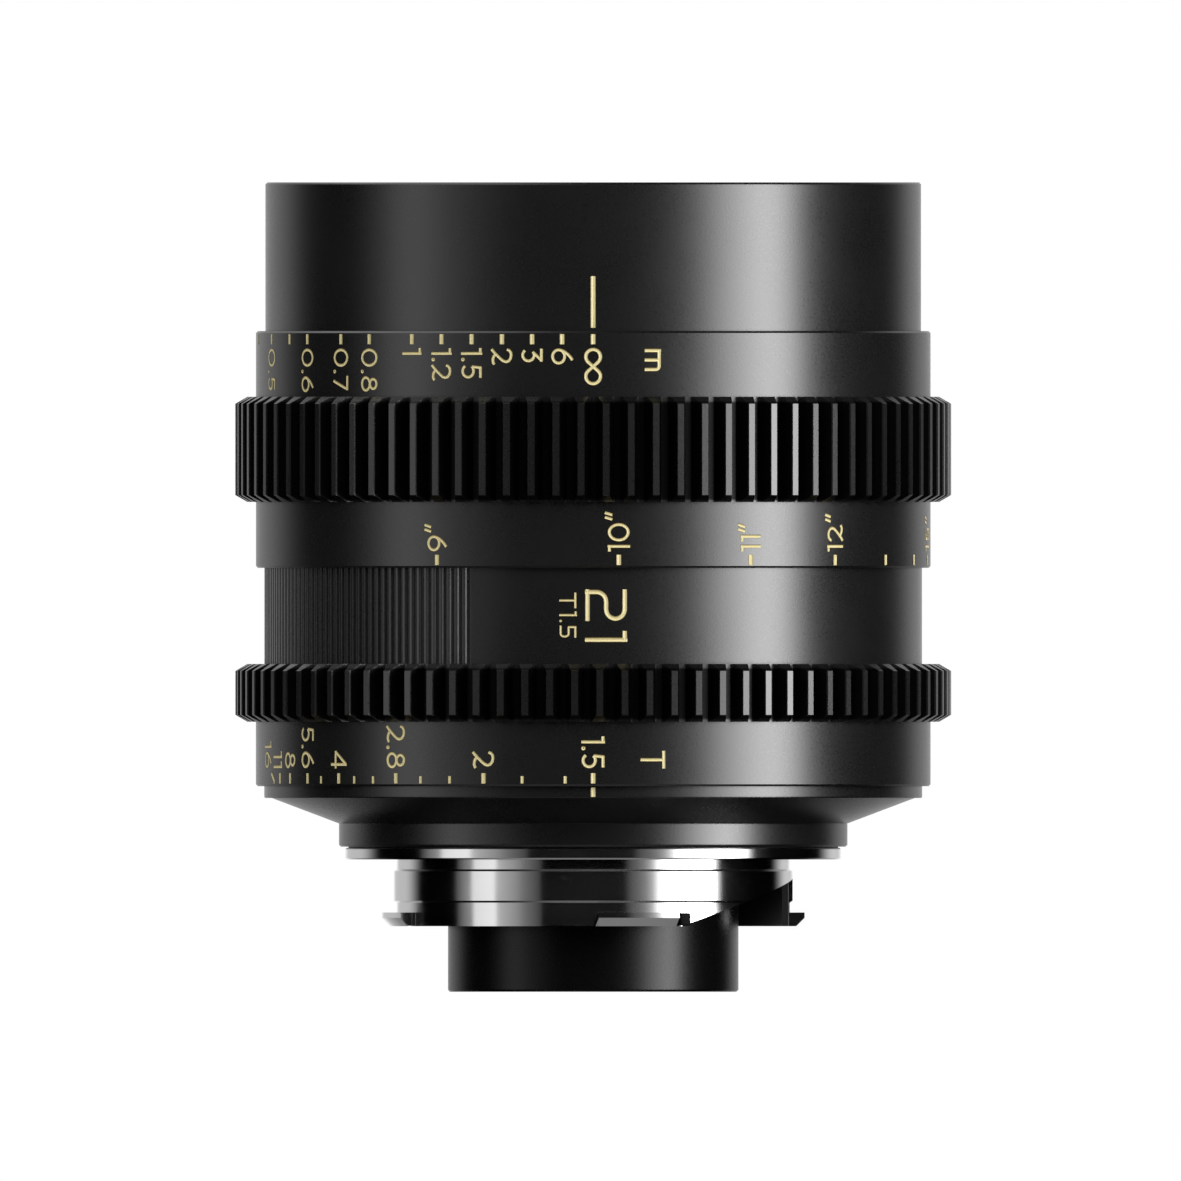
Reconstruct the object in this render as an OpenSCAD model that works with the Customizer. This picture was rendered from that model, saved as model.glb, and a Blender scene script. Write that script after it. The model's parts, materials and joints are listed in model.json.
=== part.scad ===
// Cinema prime lens with a geared focus ring, a geared iris ring and a four-lug bayonet.
// Millimetres. The origin is the centre of the mount's flange face and +Z points to the front.
// Angles on the barrel are measured from the index line, which faces -Y, and grow toward +X.

/* [Outside] */
// Diameter of both rings beside their teeth
ring_d = 68.6; // [64:0.1:76]
// Step from a ring down to the front barrel
front_step = 0.97; // [0.5:0.01:1.3]
// Length of the front barrel
front_h = 15; // [14:0.1:18]
// Step from a ring down to the fixed grip barrel
grip_step = 0.87; // [0.5:0.01:1.2]
// Length of the fixed grip barrel
grip_h = 9.53; // [9:0.01:12]
// Focus ring, from its rear edge to the gear
focus_rear_h = 6.7; // [6.5:0.1:8]
// Focus ring, length of the gear
focus_gear_h = 10.7; // [10.5:0.1:12]
// Focus ring, from the gear to its front edge
focus_front_h = 6.68; // [6.5:0.01:8]
// Iris ring, length of the scale band
iris_scale_h = 6.55; // [6.4:0.01:8]
// Iris ring, length of the gear
iris_gear_h = 5.88; // [5.7:0.01:7]
// Axial gap between a turning ring and its fixed neighbour
ring_gap = 0.12; // [0.08:0.01:0.2]
// Length of the lip on a fixed barrel that reaches into the end of a ring
lip_h = 0.3; // [0.2:0.05:0.3]
// Bevel on the edges of rings and barrels
edge_bevel = 0.2; // [0.1:0.05:0.3]

/* [Gear teeth] */
// Gear module of both rings
gear_module = 0.8; // [0.5:0.1:1]
// Height of the tooth roots above the ring
tooth_rise = 0.3; // [0.1:0.05:0.6]
// Pressure angle of the teeth
pressure_angle = 20; // [20:0.5:22]
// Height of a tooth below the pitch line, in modules
dedendum = 1.25; // [1.1:0.05:1.25]
// Radial drop of the chamfer on each end of the teeth
tooth_chamfer_r = 1.22; // [0.9:0.01:1.3]
// Axial length of that chamfer
tooth_chamfer_h = 0.71; // [0.5:0.01:0.9]
// Angle of one focus tooth from the index line
focus_tooth_at = 2.07; // [0:0.01:4]
// Angle of one iris tooth from the index line
iris_tooth_at = 1.05; // [0:0.01:4]

/* [Grip] */
// Angle where the knurl starts, from the index line
knurl_from = -157.5; // [-170:0.5:-120]
// Angle where the knurl ends
knurl_to = -22.5; // [-40:0.5:-15]
// Angle from one groove to the next
knurl_pitch = 1.5; // [1.5:0.1:2.5]
// Depth of a groove
knurl_depth = 0.28; // [0.15:0.01:0.4]
// Share of the pitch that a groove takes
knurl_share = 0.62; // [0.4:0.02:0.8]

/* [Rear housing] */
// Diameter of the black collar
collar_d = 51.7; // [51.4:0.1:53]
// Height of the black collar
collar_h = 2.36; // [2.2:0.02:3]
// Height of the cone
cone_h = 2.59; // [2.4:0.01:3.5]
// Step from a ring down to the top of the cone
cone_step = 1.6; // [1.2:0.05:2.4]
// Step from a ring down to the trim band
trim_step = 0.85; // [0.5:0.05:1.1]
// Height of the trim band
trim_h = 1.08; // [1:0.02:1.4]

/* [Bayonet] */
// Diameter of the flange
flange_d = 50.4; // [50:0.1:51.2]
// Thickness of the flange
flange_t = 1.2; // [1.1:0.05:1.6]
// Thickness of the shim behind the flange
shim_t = 0.1; // [0.05:0.01:0.2]
// Diameter of the locating cylinder
bayonet_d = 40.56; // [40.4:0.02:40.8]
// Diameter of the necks beside the locating cylinder
neck_d = 39.95; // [39.8:0.05:40.2]
// Length of the bayonet below the flange face
bayonet_h = 6.78; // [6.6:0.02:7.2]
// Bore of the bayonet
bayonet_bore_d = 38.4; // [37.8:0.1:38.8]
// Diameter over the lugs
lug_d = 43; // [42.6:0.1:43.4]
// Thickness of a lug
lug_h = 1.39; // [1.2:0.01:1.6]
// Angle that a lug takes
lug_width = 22.6; // [20:0.2:26]
// Angle of the first lug's centre
lug_at = 12.8; // [10:0.1:14]
// Number of lugs
lug_n = 4; // [3:1:4]
// Number of mount screws
mount_screw_n = 6; // [4:1:8]

/* [Rear tube] */
// Diameter of the rear tube
tube_d = 29.54; // [29.2:0.02:30]
// Length of the rear tube below the flange face
tube_h = 13.45; // [12.5:0.05:16]
// Wall of the rear tube around its elements
tube_wall = 2.27; // [2:0.01:2.6]

/* [Front] */
// Wall of the front barrel at the filter thread, from its pitch line
filter_wall = 2.58; // [2:0.02:2.8]
// Length of the filter thread
filter_h = 3.85; // [3.5:0.05:4.2]
// Steps on the front baffle
baffle_steps = 6; // [4:1:9]

/* [Inside] */
// Thickness of a ring, from its outside to the main barrel that it turns on
ring_wall = 3.65; // [3.4:0.05:4.2]
// Wall of the main barrel
barrel_wall = 2.2; // [2:0.1:2.4]
// Wall of the cam sleeve inside the focus ring
sleeve_wall = 1.93; // [1.7:0.01:2]

/* [Motion] */
// Turn of the focus ring
focus_turn = 208; // [200:1:215]
// Travel of the focus group
focus_travel = 2.7; // [2:0.1:2.8]
// Turn of the iris ring
iris_turn = 72; // [70:0.5:72]
// Angle of the iris drive pin from the index line at full aperture
iris_pin_at = 150; // [120:1:160]
// Angle of the focus drive pin from the index line
drive_pin_at = 180; // [100:1:240]

/* [Iris] */
// Number of blades
blade_n = 9; // [9:1:9]
// Diameter of the full aperture
aperture_d = 23; // [22.6:0.1:23]
// Aperture radius left at the smallest stop
aperture_min_r = 1.08; // [1:0.02:1.4]
// Width of a blade
blade_w = 5.8; // [5.7:0.1:5.9]
// Arc of a blade
blade_arc = 115; // [105:1:118]
// Radius of the circle of blade pivots
pivot_r = 18.5; // [18.4:0.05:18.7]
// Angle from a blade's pivot to its drive stud
stud_at = 17; // [16:0.5:17.5]
// Thickness of a blade
blade_t = 0.12; // [0.08:0.01:0.14]
// Step from one blade to the next
blade_step = 0.2; // [0.2:0.01:0.22]
// Diameter of pivots and studs
stud_d = 1; // [0.9:0.05:1]

/* [Fits] */
// Radial clearance of turning and sliding fits
fit_run = 0.05; // [0.03:0.01:0.08]
// Radial clearance of seated pieces
fit_seat = 0.02; // [0.01:0.01:0.04]
// Clearance of a stud in its cam slot, each side
fit_slot = 0.1; // [0.06:0.01:0.12]

/* [Hidden] */
$fn = 180;
eps = 0.01;

// Colours
black = [0.07, 0.07, 0.075];
dull_black = [0.03, 0.03, 0.03];
chrome = [0.82, 0.82, 0.83];
steel = [0.55, 0.55, 0.57];
brass = [0.72, 0.58, 0.3];
glass = [0.75, 0.85, 0.9, 0.45];
red = [0.75, 0.05, 0.05];

// Overrun of cutters and small clearances
over = 1;
glass_play = 0.02;
rim_play = 0.1;
lip_play = 0.15;
lip_w = 0.8;
pin_play = 0.15;

// Levels along the axis
z_collar = flange_t + shim_t;
z_cone = z_collar + collar_h;
z_trim = z_cone + cone_h;
z_trim_top = z_trim + trim_h;
z_iris = z_trim_top + ring_gap;
z_iris_gear = z_iris + iris_scale_h;
z_iris_top = z_iris_gear + iris_gear_h;
z_grip = z_iris_top + ring_gap;
z_grip_top = z_grip + grip_h;
z_focus = z_grip_top + ring_gap;
z_focus_gear = z_focus + focus_rear_h;
z_focus_gear_top = z_focus_gear + focus_gear_h;
z_focus_top = z_focus_gear_top + focus_front_h;
z_front = z_focus_top + ring_gap;
z_front_top = z_front + front_h;

// Radii
r_ring = ring_d / 2;
r_front = r_ring - front_step;
r_grip = r_ring - grip_step;
r_trim = r_ring - trim_step;
r_cone = r_ring - cone_step;
r_collar = collar_d / 2;
r_flange = flange_d / 2;
r_bayonet = bayonet_d / 2;
r_neck = neck_d / 2;
r_bayonet_bore = bayonet_bore_d / 2;
r_lug = lug_d / 2;
r_tube = tube_d / 2;
r_filter = r_front - filter_wall;
r_ring_bore = r_ring - ring_wall;
r_barrel = r_ring_bore - fit_run;
r_barrel_bore = r_barrel - barrel_wall;
r_sleeve = r_ring_bore + sleeve_wall;
r_focus_bore = r_sleeve + fit_seat;

// Gear teeth and radii
gear_teeth = round((ring_d + 2 * tooth_rise) / gear_module + 2 * dedendum);
r_pitch = gear_module * gear_teeth / 2;
r_base = r_pitch * cos(pressure_angle);
r_tip = r_pitch + gear_module;
r_root = r_pitch - dedendum * gear_module;

// Bayonet details
neck_h = 1;
land_bevel = 0.2;
lug_chamfer = 0.85;
relief_r = 0.43;
relief_at = r_neck + 0.12;
flange_bevel = 0.15;
seat_groove = 0.1;
r_seat = r_bayonet + fit_run;
shim_inset = 0.3;
neck_join = 0.5;
cut_from = 26.5;
cut_to = 91;
cut_tilt = 18.41;
cut_turn = 11.53;
cut_z = -8.52;
mount_screw_r = (r_bayonet + r_flange) / 2;
mount_screw_d = 1.4;
mount_head_d = 2.6;
mount_head_h = 0.7;
mount_head_sink = 0.05;
mount_screw_l = 3.9;
cross_l = 1.3;
cross_w = 0.28;
cross_h = 0.4;
bead_at = -140;
bead_z = z_collar + collar_h / 2;
bead_d = 2.2;
bead_depth = 1;
bead_proud = 0.35;

// Rear housing, inside
housing_bore = r_tube + 1.2;
ledge_z = z_cone + 0.35;
ledge_r = housing_bore + 3.1;
floor_z = z_trim_top + 0.17;
spigot_h = 3.5;
spigot_wall = 2.4;
r_spigot = r_barrel_bore - fit_seat;
r_spigot_bore = r_spigot - spigot_wall;
barrel_seat_z = z_trim + 0.35;
barrel_top = z_front_top - 7.85;

// Rear tube
tube_flange_h = 2.2;
tube_top = floor_z - 0.1;
glass_r = r_tube - tube_wall;
tube_bore = glass_r + fit_run;
tube_mouth = 1.05;
lip = 0.8;
tube_seat_h = 2.2;
spacer_lip = 0.9;
rear_lip = 1.2;

// Iris levels
iris_floor = floor_z + 2.5;
iris_plate_t = 1;
pivot_wall = 0.97;
iris_skirt_r = pivot_r + pivot_wall;
blade_z = iris_floor + 0.1;
cam_z = blade_z + (blade_n - 1) * blade_step + blade_t + 0.18;
cam_h = 2.1;
cam_top = cam_z + cam_h;
cover_z = cam_top + 0.1;
cover_h = 0.8;
cover_rim = 4;
r_iris_base = r_spigot_bore - fit_seat;
r_cam = r_iris_base - 1.2;
r_cam_bore = aperture_d / 2 + 0.7;
cam_rest = 0.8;
pin_z = cam_z + cam_h / 2;
pin_d = 1.8;
r_aperture = aperture_d / 2;
r_blade = r_aperture + blade_w;
blade_turn = 2 * asin((r_aperture - aperture_min_r) / (2 * pivot_r));
blade_ratio = blade_turn / iris_turn;
stud_r = stud_d / 2;
tab_margin = 1.1;
slot_steps = 16;
iris_screw_r = r_cam - cam_rest - 1.1;

// Focus group levels
sleeve_bottom = z_focus + 0.53;
sleeve_top = z_focus_top - 0.53;
washer_play = 0.05;
carrier_z = z_focus - 4.65;
carrier_rim_h = 19;
carrier_r = r_barrel_bore - fit_run;
carrier_rim = 2.35;
guide_z = carrier_z + 13;
guide_d = 3;
guide_depth = 2.3;
r_guide_end = r_barrel - 0.2;
r_drive_end = r_sleeve - 0.18;
guide_n = 3;
guide_w = guide_d + 2 * fit_run;
cam_step = 4;
cam_margin = asin((guide_d / 2 + fit_run) / r_ring_bore);

// Lens elements, each [front vertex, thickness, front radius, rear radius, half diameter]
// A radius is positive where its centre lies toward the rear.
front_glass_r = r_barrel_bore - 3.4;
front_1 = [z_front_top - 5.65, 2.5, 62, 30, front_glass_r];
front_2 = [z_front_top - 16.45, 1.8, 200, 24, 0.78 * front_glass_r];
focus_1 = [carrier_z + 16, 6, 38, -60, 15];
focus_2 = [carrier_z + 9, 1.5, -50, 30, 13.5];
focus_3 = [carrier_z + 7.47, 6.5, 30, -35, 13.5];
rear_1 = [z_trim - 1.05, 1.4, -45, 38, glass_r];
rear_2 = [rear_1[0] - 1.43, 7.5, 38, -32, glass_r];
rear_3 = [rear_2[0] - 8.57, 5, 70, -48, glass_r];
clear_share = 0.82;

// Depth of a spherical surface at distance x from the axis
function sag(radius, x) = abs(radius) - sqrt(radius * radius - x * x);

// Level of an element's front or rear surface at distance x from the axis
function front_level(e, x) = e[0] - sign(e[2]) * sag(e[2], x);
function rear_level(e, x) = e[0] - e[1] - sign(e[3]) * sag(e[3], x);

// Top and bottom of an element's edge; a hollow surface stops at its clear aperture
function edge_top(e) = e[2] > 0 ? front_level(e, e[4]) : front_level(e, clear_share * e[4]);
function edge_bottom(e) = e[3] < 0 ? rear_level(e, e[4]) : rear_level(e, clear_share * e[4]);

// Involute of an angle, in degrees
function involute(a) = tan(a) * 180 / PI - a;

// Half the angle of a tooth at radius r
function tooth_half(r) = 90 / gear_teeth + involute(pressure_angle) - involute(acos(r_base / r));

function polar(r, a) = [r * cos(a), r * sin(a)];

// Math angle of a place on the barrel that is given from the index line
function from_index(a) = a - 90;

flank_radii = [r_root, r_pitch, r_tip];
flank_back = [r_tip, r_pitch, r_root];

function gear_points(at) = [
    for (i = [0 : gear_teeth - 1])
        let (c = from_index(at) + i * 360 / gear_teeth)
            each concat(
                [for (r = flank_radii) polar(r, c - tooth_half(r))],
                [for (r = flank_back) polar(r, c + tooth_half(r))]
            )
];

// Zigzag band that cuts the knurl's grooves
knurl_n = floor((knurl_to - knurl_from) / knurl_pitch);
knurl_half = knurl_share * knurl_pitch / 2;
knurl_out = 1.5;
knurl_stride = 5;
knurl_points = concat(
    [
        for (i = [0 : knurl_n])
            let (c = from_index(knurl_from) + i * knurl_pitch)
                each [
                    polar(r_grip + eps, c - knurl_half),
                    polar(r_grip - knurl_depth, c),
                    polar(r_grip + eps, c + knurl_half)
                ]
    ],
    [
        for (i = [knurl_n : -knurl_stride : 0])
            polar(r_grip + knurl_out, from_index(knurl_from) + i * knurl_pitch)
    ]
);

// Path of a blade's drive stud, seen from the cam ring turned by a
function turned(p, a) = [p[0] * cos(a) - p[1] * sin(a), p[0] * sin(a) + p[1] * cos(a)];
pivot = [pivot_r, 0];
stud_start = polar(pivot_r, stud_at);
function stud_place(a) = turned(pivot + turned(stud_start - pivot, blade_ratio * a), -a);
slot_half = stud_r + fit_slot;
function slot_normal(a) =
    let (d = stud_place(a + eps) - stud_place(a - eps))
        [-d[1], d[0]] / norm(d);
slot_angles = [for (i = [0 : slot_steps]) i * iris_turn / slot_steps];
slot_points = concat(
    [for (a = slot_angles) stud_place(a) + slot_half * slot_normal(a)],
    [
        for (i = [slot_steps : -1 : 0])
            stud_place(slot_angles[i]) - slot_half * slot_normal(slot_angles[i])
    ]
);

// Corners of the helical slot's cutter, four at each step
cam_steps = ceil((focus_turn + 2 * cam_margin) / cam_step);
function cam_turn(i) = -cam_margin + i * (focus_turn + 2 * cam_margin) / cam_steps;
cam_points = [
    for (i = [0 : cam_steps])
        let (
            s = cam_turn(i),
            a = from_index(drive_pin_at) - s,
            z = guide_z + focus_travel * s / focus_turn,
            r0 = r_ring_bore - over,
            r1 = r_sleeve + over
        )
            each [
                [r0 * cos(a), r0 * sin(a), z - guide_w / 2],
                [r1 * cos(a), r1 * sin(a), z - guide_w / 2],
                [r1 * cos(a), r1 * sin(a), z + guide_w / 2],
                [r0 * cos(a), r0 * sin(a), z + guide_w / 2]
            ]
];
cam_faces = concat(
    [[0, 1, 2], [0, 2, 3]],
    [
        for (i = [0 : cam_steps - 1], k = [0 : 3])
            let (p = 4 * i + k, q = 4 * i + (k + 1) % 4)
                each [[p, p + 4, q], [q, p + 4, q + 4]]
    ],
    [[4 * cam_steps, 4 * cam_steps + 2, 4 * cam_steps + 1],
     [4 * cam_steps, 4 * cam_steps + 3, 4 * cam_steps + 2]]
);

// Grub screws and housing screws
grub_d = 2;
grub_hex = 1;
grub_hex_depth = 0.8;
grub_sink = 0.15;
grub_bite = 1.3;
grip_screws_at = [110, 150, 190];
grip_screw_z = (z_grip + z_grip_top) / 2;
focus_screws_at = [140, 180, 220];
focus_screw_z = (z_focus_gear_top + z_focus_top) / 2;
housing_screw_n = 3;
housing_screw_z = barrel_seat_z + 2.2;
housing_shank_d = 1.6;
housing_head_d = 2.4;
housing_head_h = 1;
housing_head_sink = 0.15;
housing_head_r = r_barrel - housing_head_sink - housing_head_h;
housing_bite = 1.6;
iris_screw_n = 3;
iris_screw_at = 60;
iris_screw_d = 1;
iris_head_d = 1.8;
iris_head_h = 0.6;
iris_screw_l = 4.2;

// Ring of a rectangular section
module tube(r_in, r_out, z, h) {
    rotate_extrude()
        polygon([[r_in, z], [r_out, z], [r_out, z + h], [r_in, z + h]]);
}

// Ring with bevelled outer edges
module bevelled_tube(r_in, r_out, z, h, b) {
    rotate_extrude()
        polygon([
            [r_in, z], [r_out - b, z], [r_out, z + b],
            [r_out, z + h - b], [r_out - b, z + h], [r_in, z + h]
        ]);
}

// Room for a fixed barrel's lip in the end of a turning ring, above (way 1) or below (way -1) a level
module lip_seat(r, z, way) {
    translate([0, 0, way > 0 ? z : z - lip_h - over])
        cylinder(r = r + lip_play, h = lip_h + over);
}

// Part of a ring between two angles
module arc_tube(r_in, r_out, z, h, from, to) {
    rotate([0, 0, from])
        rotate_extrude(angle = to - from)
            polygon([[r_in, z], [r_out, z], [r_out, z + h], [r_in, z + h]]);
}

// Cylinder that points away from the axis
module radial(a, z, r0, r1, d) {
    rotate([0, 0, a])
        translate([r0, 0, z])
            rotate([0, 90, 0])
                cylinder(d = d, h = r1 - r0, $fn = 48);
}

// Grub screw with a hexagon socket
module grub(a, z, r0, r1) {
    difference() {
        radial(a, z, r0, r1, grub_d - 2 * fit_seat);
        rotate([0, 0, a])
            translate([r1 - grub_hex_depth, 0, z])
                rotate([0, 90, 0])
                    cylinder(d = grub_hex, h = grub_hex_depth + eps, $fn = 6);
    }
}

// Toothed band whose tooth ends are chamfered
module gear_band(z, h, at) {
    tip_over = 0.2;
    slope = tooth_chamfer_h / tooth_chamfer_r;
    r_end = r_tip - tooth_chamfer_r;
    z_full = tooth_chamfer_h + tip_over * slope;
    translate([0, 0, z])
        intersection() {
            linear_extrude(height = h)
                polygon(gear_points(at));
            rotate_extrude()
                polygon([
                    [0, 0], [r_end, 0], [r_tip + tip_over, z_full],
                    [r_tip + tip_over, h - z_full], [r_end, h], [0, h]
                ]);
        }
}

// Lens element with spherical faces
module element(e) {
    rear_z = e[0] - e[1];
    bottom = min(rear_z, edge_bottom(e)) - eps;
    top = max(e[0], edge_top(e)) + eps;
    difference() {
        intersection() {
            translate([0, 0, edge_bottom(e) < rear_z ? edge_bottom(e) : bottom])
                cylinder(r = e[4], h = (edge_top(e) > e[0] ? edge_top(e) : top)
                    - (edge_bottom(e) < rear_z ? edge_bottom(e) : bottom));
            if (e[2] > 0)
                translate([0, 0, e[0] - e[2]])
                    sphere(r = e[2]);
            if (e[3] < 0)
                translate([0, 0, rear_z - e[3]])
                    sphere(r = -e[3]);
        }
        if (e[2] < 0)
            translate([0, 0, e[0] - e[2]])
                sphere(r = -e[2]);
        if (e[3] > 0)
            translate([0, 0, rear_z - e[3]])
                sphere(r = e[3]);
    }
}

// Front barrel
baffle_flange = 0.65;
thread_step = 0.4;
r_baffle_seat = r_filter - thread_step;
thread_end_z = z_front_top - filter_h;
front_ledge_z = thread_end_z - baffle_flange;
front_cell_flange = 1.2;
front_seat_z = barrel_top + front_cell_flange;
front_ledge_r = r_barrel - 2;

module front_barrel() {
    color(black)
        rotate_extrude()
            polygon([
                [r_barrel + fit_seat, z_front], [r_front - lip_w, z_front],
                [r_front - lip_w, z_front - lip_h], [r_front, z_front - lip_h],
                [r_front, z_front_top - edge_bevel],
                [r_front - edge_bevel, z_front_top], [r_filter + edge_bevel, z_front_top],
                [r_filter, z_front_top - edge_bevel], [r_filter, thread_end_z],
                [r_baffle_seat, thread_end_z], [r_baffle_seat, front_ledge_z],
                [front_ledge_r, front_ledge_z], [front_ledge_r, front_seat_z],
                [r_barrel + fit_seat, front_seat_z]
            ]);
}

// Stepped baffle in front of the first element
retainer_lip = 1.6;
retainer_h = 1.6;
retainer_seat = front_level(front_1, front_1[4] - retainer_lip) + glass_play;
retainer_top = retainer_seat + retainer_h;
baffle_play = 0.3;
baffle_top_r = front_ledge_r - 1;
baffle_low_r = front_1[4] - 0.8;
baffle_low_z = retainer_top + 0.6;
baffle_skirt_r = front_1[4] + 1.6;

module front_baffle() {
    dr = (baffle_top_r - baffle_low_r) / baffle_steps;
    dz = (thread_end_z - baffle_low_z) / baffle_steps;
    color(dull_black)
        rotate_extrude()
            polygon(concat(
                [
                    [r_baffle_seat - fit_run, front_ledge_z], [r_baffle_seat - fit_run, thread_end_z]
                ],
                [
                    for (i = [0 : baffle_steps - 1])
                        each [
                            [baffle_top_r - i * dr, thread_end_z - i * dz],
                            [baffle_top_r - i * dr, thread_end_z - (i + 1) * dz]
                        ]
                ],
                [
                    [baffle_low_r, baffle_low_z], [baffle_low_r, retainer_top],
                    [baffle_skirt_r, retainer_top], [baffle_skirt_r, front_seat_z + baffle_play],
                    [front_ledge_r - baffle_play, front_seat_z + baffle_play],
                    [front_ledge_r - baffle_play, front_ledge_z]
                ]
            ));
}

// Cell that holds the two front elements
cell_1_r = front_1[4] + fit_run;
cell_2_r = front_2[4] + fit_run;
cell_1_z = edge_bottom(front_1);
cell_2_z = edge_bottom(front_2);
cell_lip = 0.8;
cell_wall = 1;
cell_clear_r = clear_share * front_2[4] + rim_play;
skirt_bore = baffle_skirt_r + 2 * rim_play;
second_lip = 2;

module front_cell() {
    color(dull_black)
        rotate_extrude()
            polygon([
                [cell_clear_r, cell_2_z - cell_lip], [cell_2_r + cell_wall, cell_2_z - cell_lip],
                [cell_2_r + cell_wall, cell_1_z - cell_wall],
                [r_barrel_bore - fit_seat, cell_1_z - cell_wall],
                [r_barrel_bore - fit_seat, barrel_top], [r_barrel - rim_play, barrel_top],
                [r_barrel - rim_play, front_seat_z], [skirt_bore, front_seat_z],
                [skirt_bore, retainer_top], [cell_1_r, retainer_top],
                [cell_1_r, cell_1_z], [cell_2_r, cell_1_z], [cell_2_r, cell_2_z],
                [cell_clear_r, cell_2_z]
            ]);
}

module front_element() {
    color(glass)
        element(front_1);
}

module front_retainer() {
    color(dull_black)
        tube(front_1[4] - retainer_lip, cell_1_r - fit_seat, retainer_seat, retainer_h);
}

module second_element() {
    color(glass)
        element(front_2);
}

module second_retainer() {
    seat = front_level(front_2, front_2[4] - second_lip) + glass_play;
    color(dull_black)
        tube(front_2[4] - second_lip, cell_2_r - fit_seat, seat, cell_1_z - seat);
}

// Main barrel with the focus group's straight slots and the iris drive pin's slot
iris_slot_margin = asin((pin_d / 2 + rim_play) / r_barrel_bore);

module iris_slot(r_in, r_out, z, h) {
    arc_tube(r_in, r_out, z, h, from_index(iris_pin_at) - iris_slot_margin,
        from_index(iris_pin_at) + iris_turn + iris_slot_margin);
}

module guide_slot(a) {
    rotate([0, 0, a])
        translate([r_barrel_bore - over, -guide_w / 2, guide_z - guide_d / 2 - rim_play])
            cube([barrel_wall + 2 * over, guide_w, focus_travel + guide_d + 2 * rim_play]);
}

module main_barrel() {
    color(black)
        difference() {
            tube(r_barrel_bore, r_barrel, barrel_seat_z, barrel_top - barrel_seat_z);
            for (i = [0 : guide_n - 1])
                guide_slot(from_index(drive_pin_at) + i * 360 / guide_n);
            iris_slot(r_barrel_bore - over, r_barrel + over, pin_z - pin_d / 2 - pin_play,
                pin_d + 2 * pin_play);
            for (i = [0 : housing_screw_n - 1])
                housing_hole(from_index(i * 360 / housing_screw_n));
            for (a = grip_screws_at)
                radial(from_index(a), grip_screw_z, r_barrel - grub_bite, r_barrel + over, grub_d);
        }
}

// Slip washers at both ends of the cam sleeve
module focus_washers() {
    rear_h = sleeve_bottom - washer_play - z_grip_top;
    front_z = sleeve_top + washer_play;
    color(brass) {
        tube(r_barrel + fit_seat, r_sleeve - rim_play, z_grip_top, rear_h);
        tube(r_barrel + fit_seat, r_sleeve - rim_play, front_z, z_front - front_z);
    }
}

// Fixed grip barrel, knurled on one side
module grip_barrel() {
    color(black)
        difference() {
            union() {
                tube(r_barrel + fit_seat, r_grip, z_grip, grip_h);
                tube(r_grip - lip_w, r_grip, z_grip - lip_h, grip_h + 2 * lip_h);
            }
            translate([0, 0, z_grip - lip_h - over])
                linear_extrude(height = grip_h + 2 * lip_h + 2 * over)
                    polygon(knurl_points);
            for (a = grip_screws_at)
                radial(from_index(a), grip_screw_z, r_barrel - over, r_grip + over, grub_d);
        }
}

module grip_screws() {
    color(steel)
        for (a = grip_screws_at)
            grub(from_index(a), grip_screw_z, r_barrel - grub_bite, r_grip - grub_sink);
}

// Rear housing: trim band, cone and collar, with the seats for the barrel, the iris and the rear tube
module housing_hole(a) {
    radial(a, housing_screw_z, r_spigot - housing_bite, r_barrel + over, housing_shank_d);
    radial(a, housing_screw_z, housing_head_r, r_barrel + over, housing_head_d);
}

module rear_housing() {
    color(black)
        difference() {
            rotate_extrude()
                polygon([
                    [housing_bore, z_collar], [r_collar - edge_bevel, z_collar],
                    [r_collar, z_collar + edge_bevel], [r_collar, z_cone], [r_cone, z_trim],
                    [r_trim - edge_bevel / 2, z_trim], [r_trim, z_trim + edge_bevel / 2],
                    [r_trim, z_trim_top + lip_h], [r_trim - lip_w, z_trim_top + lip_h],
                    [r_trim - lip_w, z_trim_top],
                    [r_barrel + fit_seat, z_trim_top], [r_barrel + fit_seat, barrel_seat_z],
                    [r_spigot, barrel_seat_z], [r_spigot, floor_z + spigot_h],
                    [r_spigot_bore, floor_z + spigot_h], [r_spigot_bore, floor_z],
                    [ledge_r, floor_z], [ledge_r, ledge_z], [housing_bore, ledge_z]
                ]);
            for (i = [0 : housing_screw_n - 1])
                radial(from_index(i * 360 / housing_screw_n), housing_screw_z,
                    r_spigot - housing_bite, r_barrel, housing_shank_d);
            for (i = [0 : mount_screw_n - 1])
                rotate([0, 0, i * 360 / mount_screw_n])
                    translate([mount_screw_r, 0, z_collar - over])
                        cylinder(d = mount_screw_d, h = mount_screw_l - z_collar + over, $fn = 48);
            for (i = [0 : iris_screw_n - 1])
                iris_hole(i);
            radial(from_index(bead_at), bead_z, r_collar - bead_depth, r_collar + over, bead_d);
        }
}

module housing_screws() {
    color(steel)
        for (i = [0 : housing_screw_n - 1]) {
            a = from_index(i * 360 / housing_screw_n);
            radial(a, housing_screw_z, r_spigot - housing_bite, housing_head_r + eps,
                housing_shank_d - 2 * fit_seat);
            radial(a, housing_screw_z, housing_head_r, housing_head_r + housing_head_h,
                housing_head_d - 2 * fit_seat);
        }
}

// Thin shim between the mount and the housing
module mount_shim() {
    color(dull_black)
        difference() {
            tube(r_bayonet_bore, r_flange - shim_inset, flange_t, shim_t);
            for (i = [0 : mount_screw_n - 1])
                rotate([0, 0, i * 360 / mount_screw_n])
                    translate([mount_screw_r, 0, flange_t - over])
                        cylinder(d = mount_screw_d, h = shim_t + 2 * over, $fn = 48);
        }
}

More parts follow.
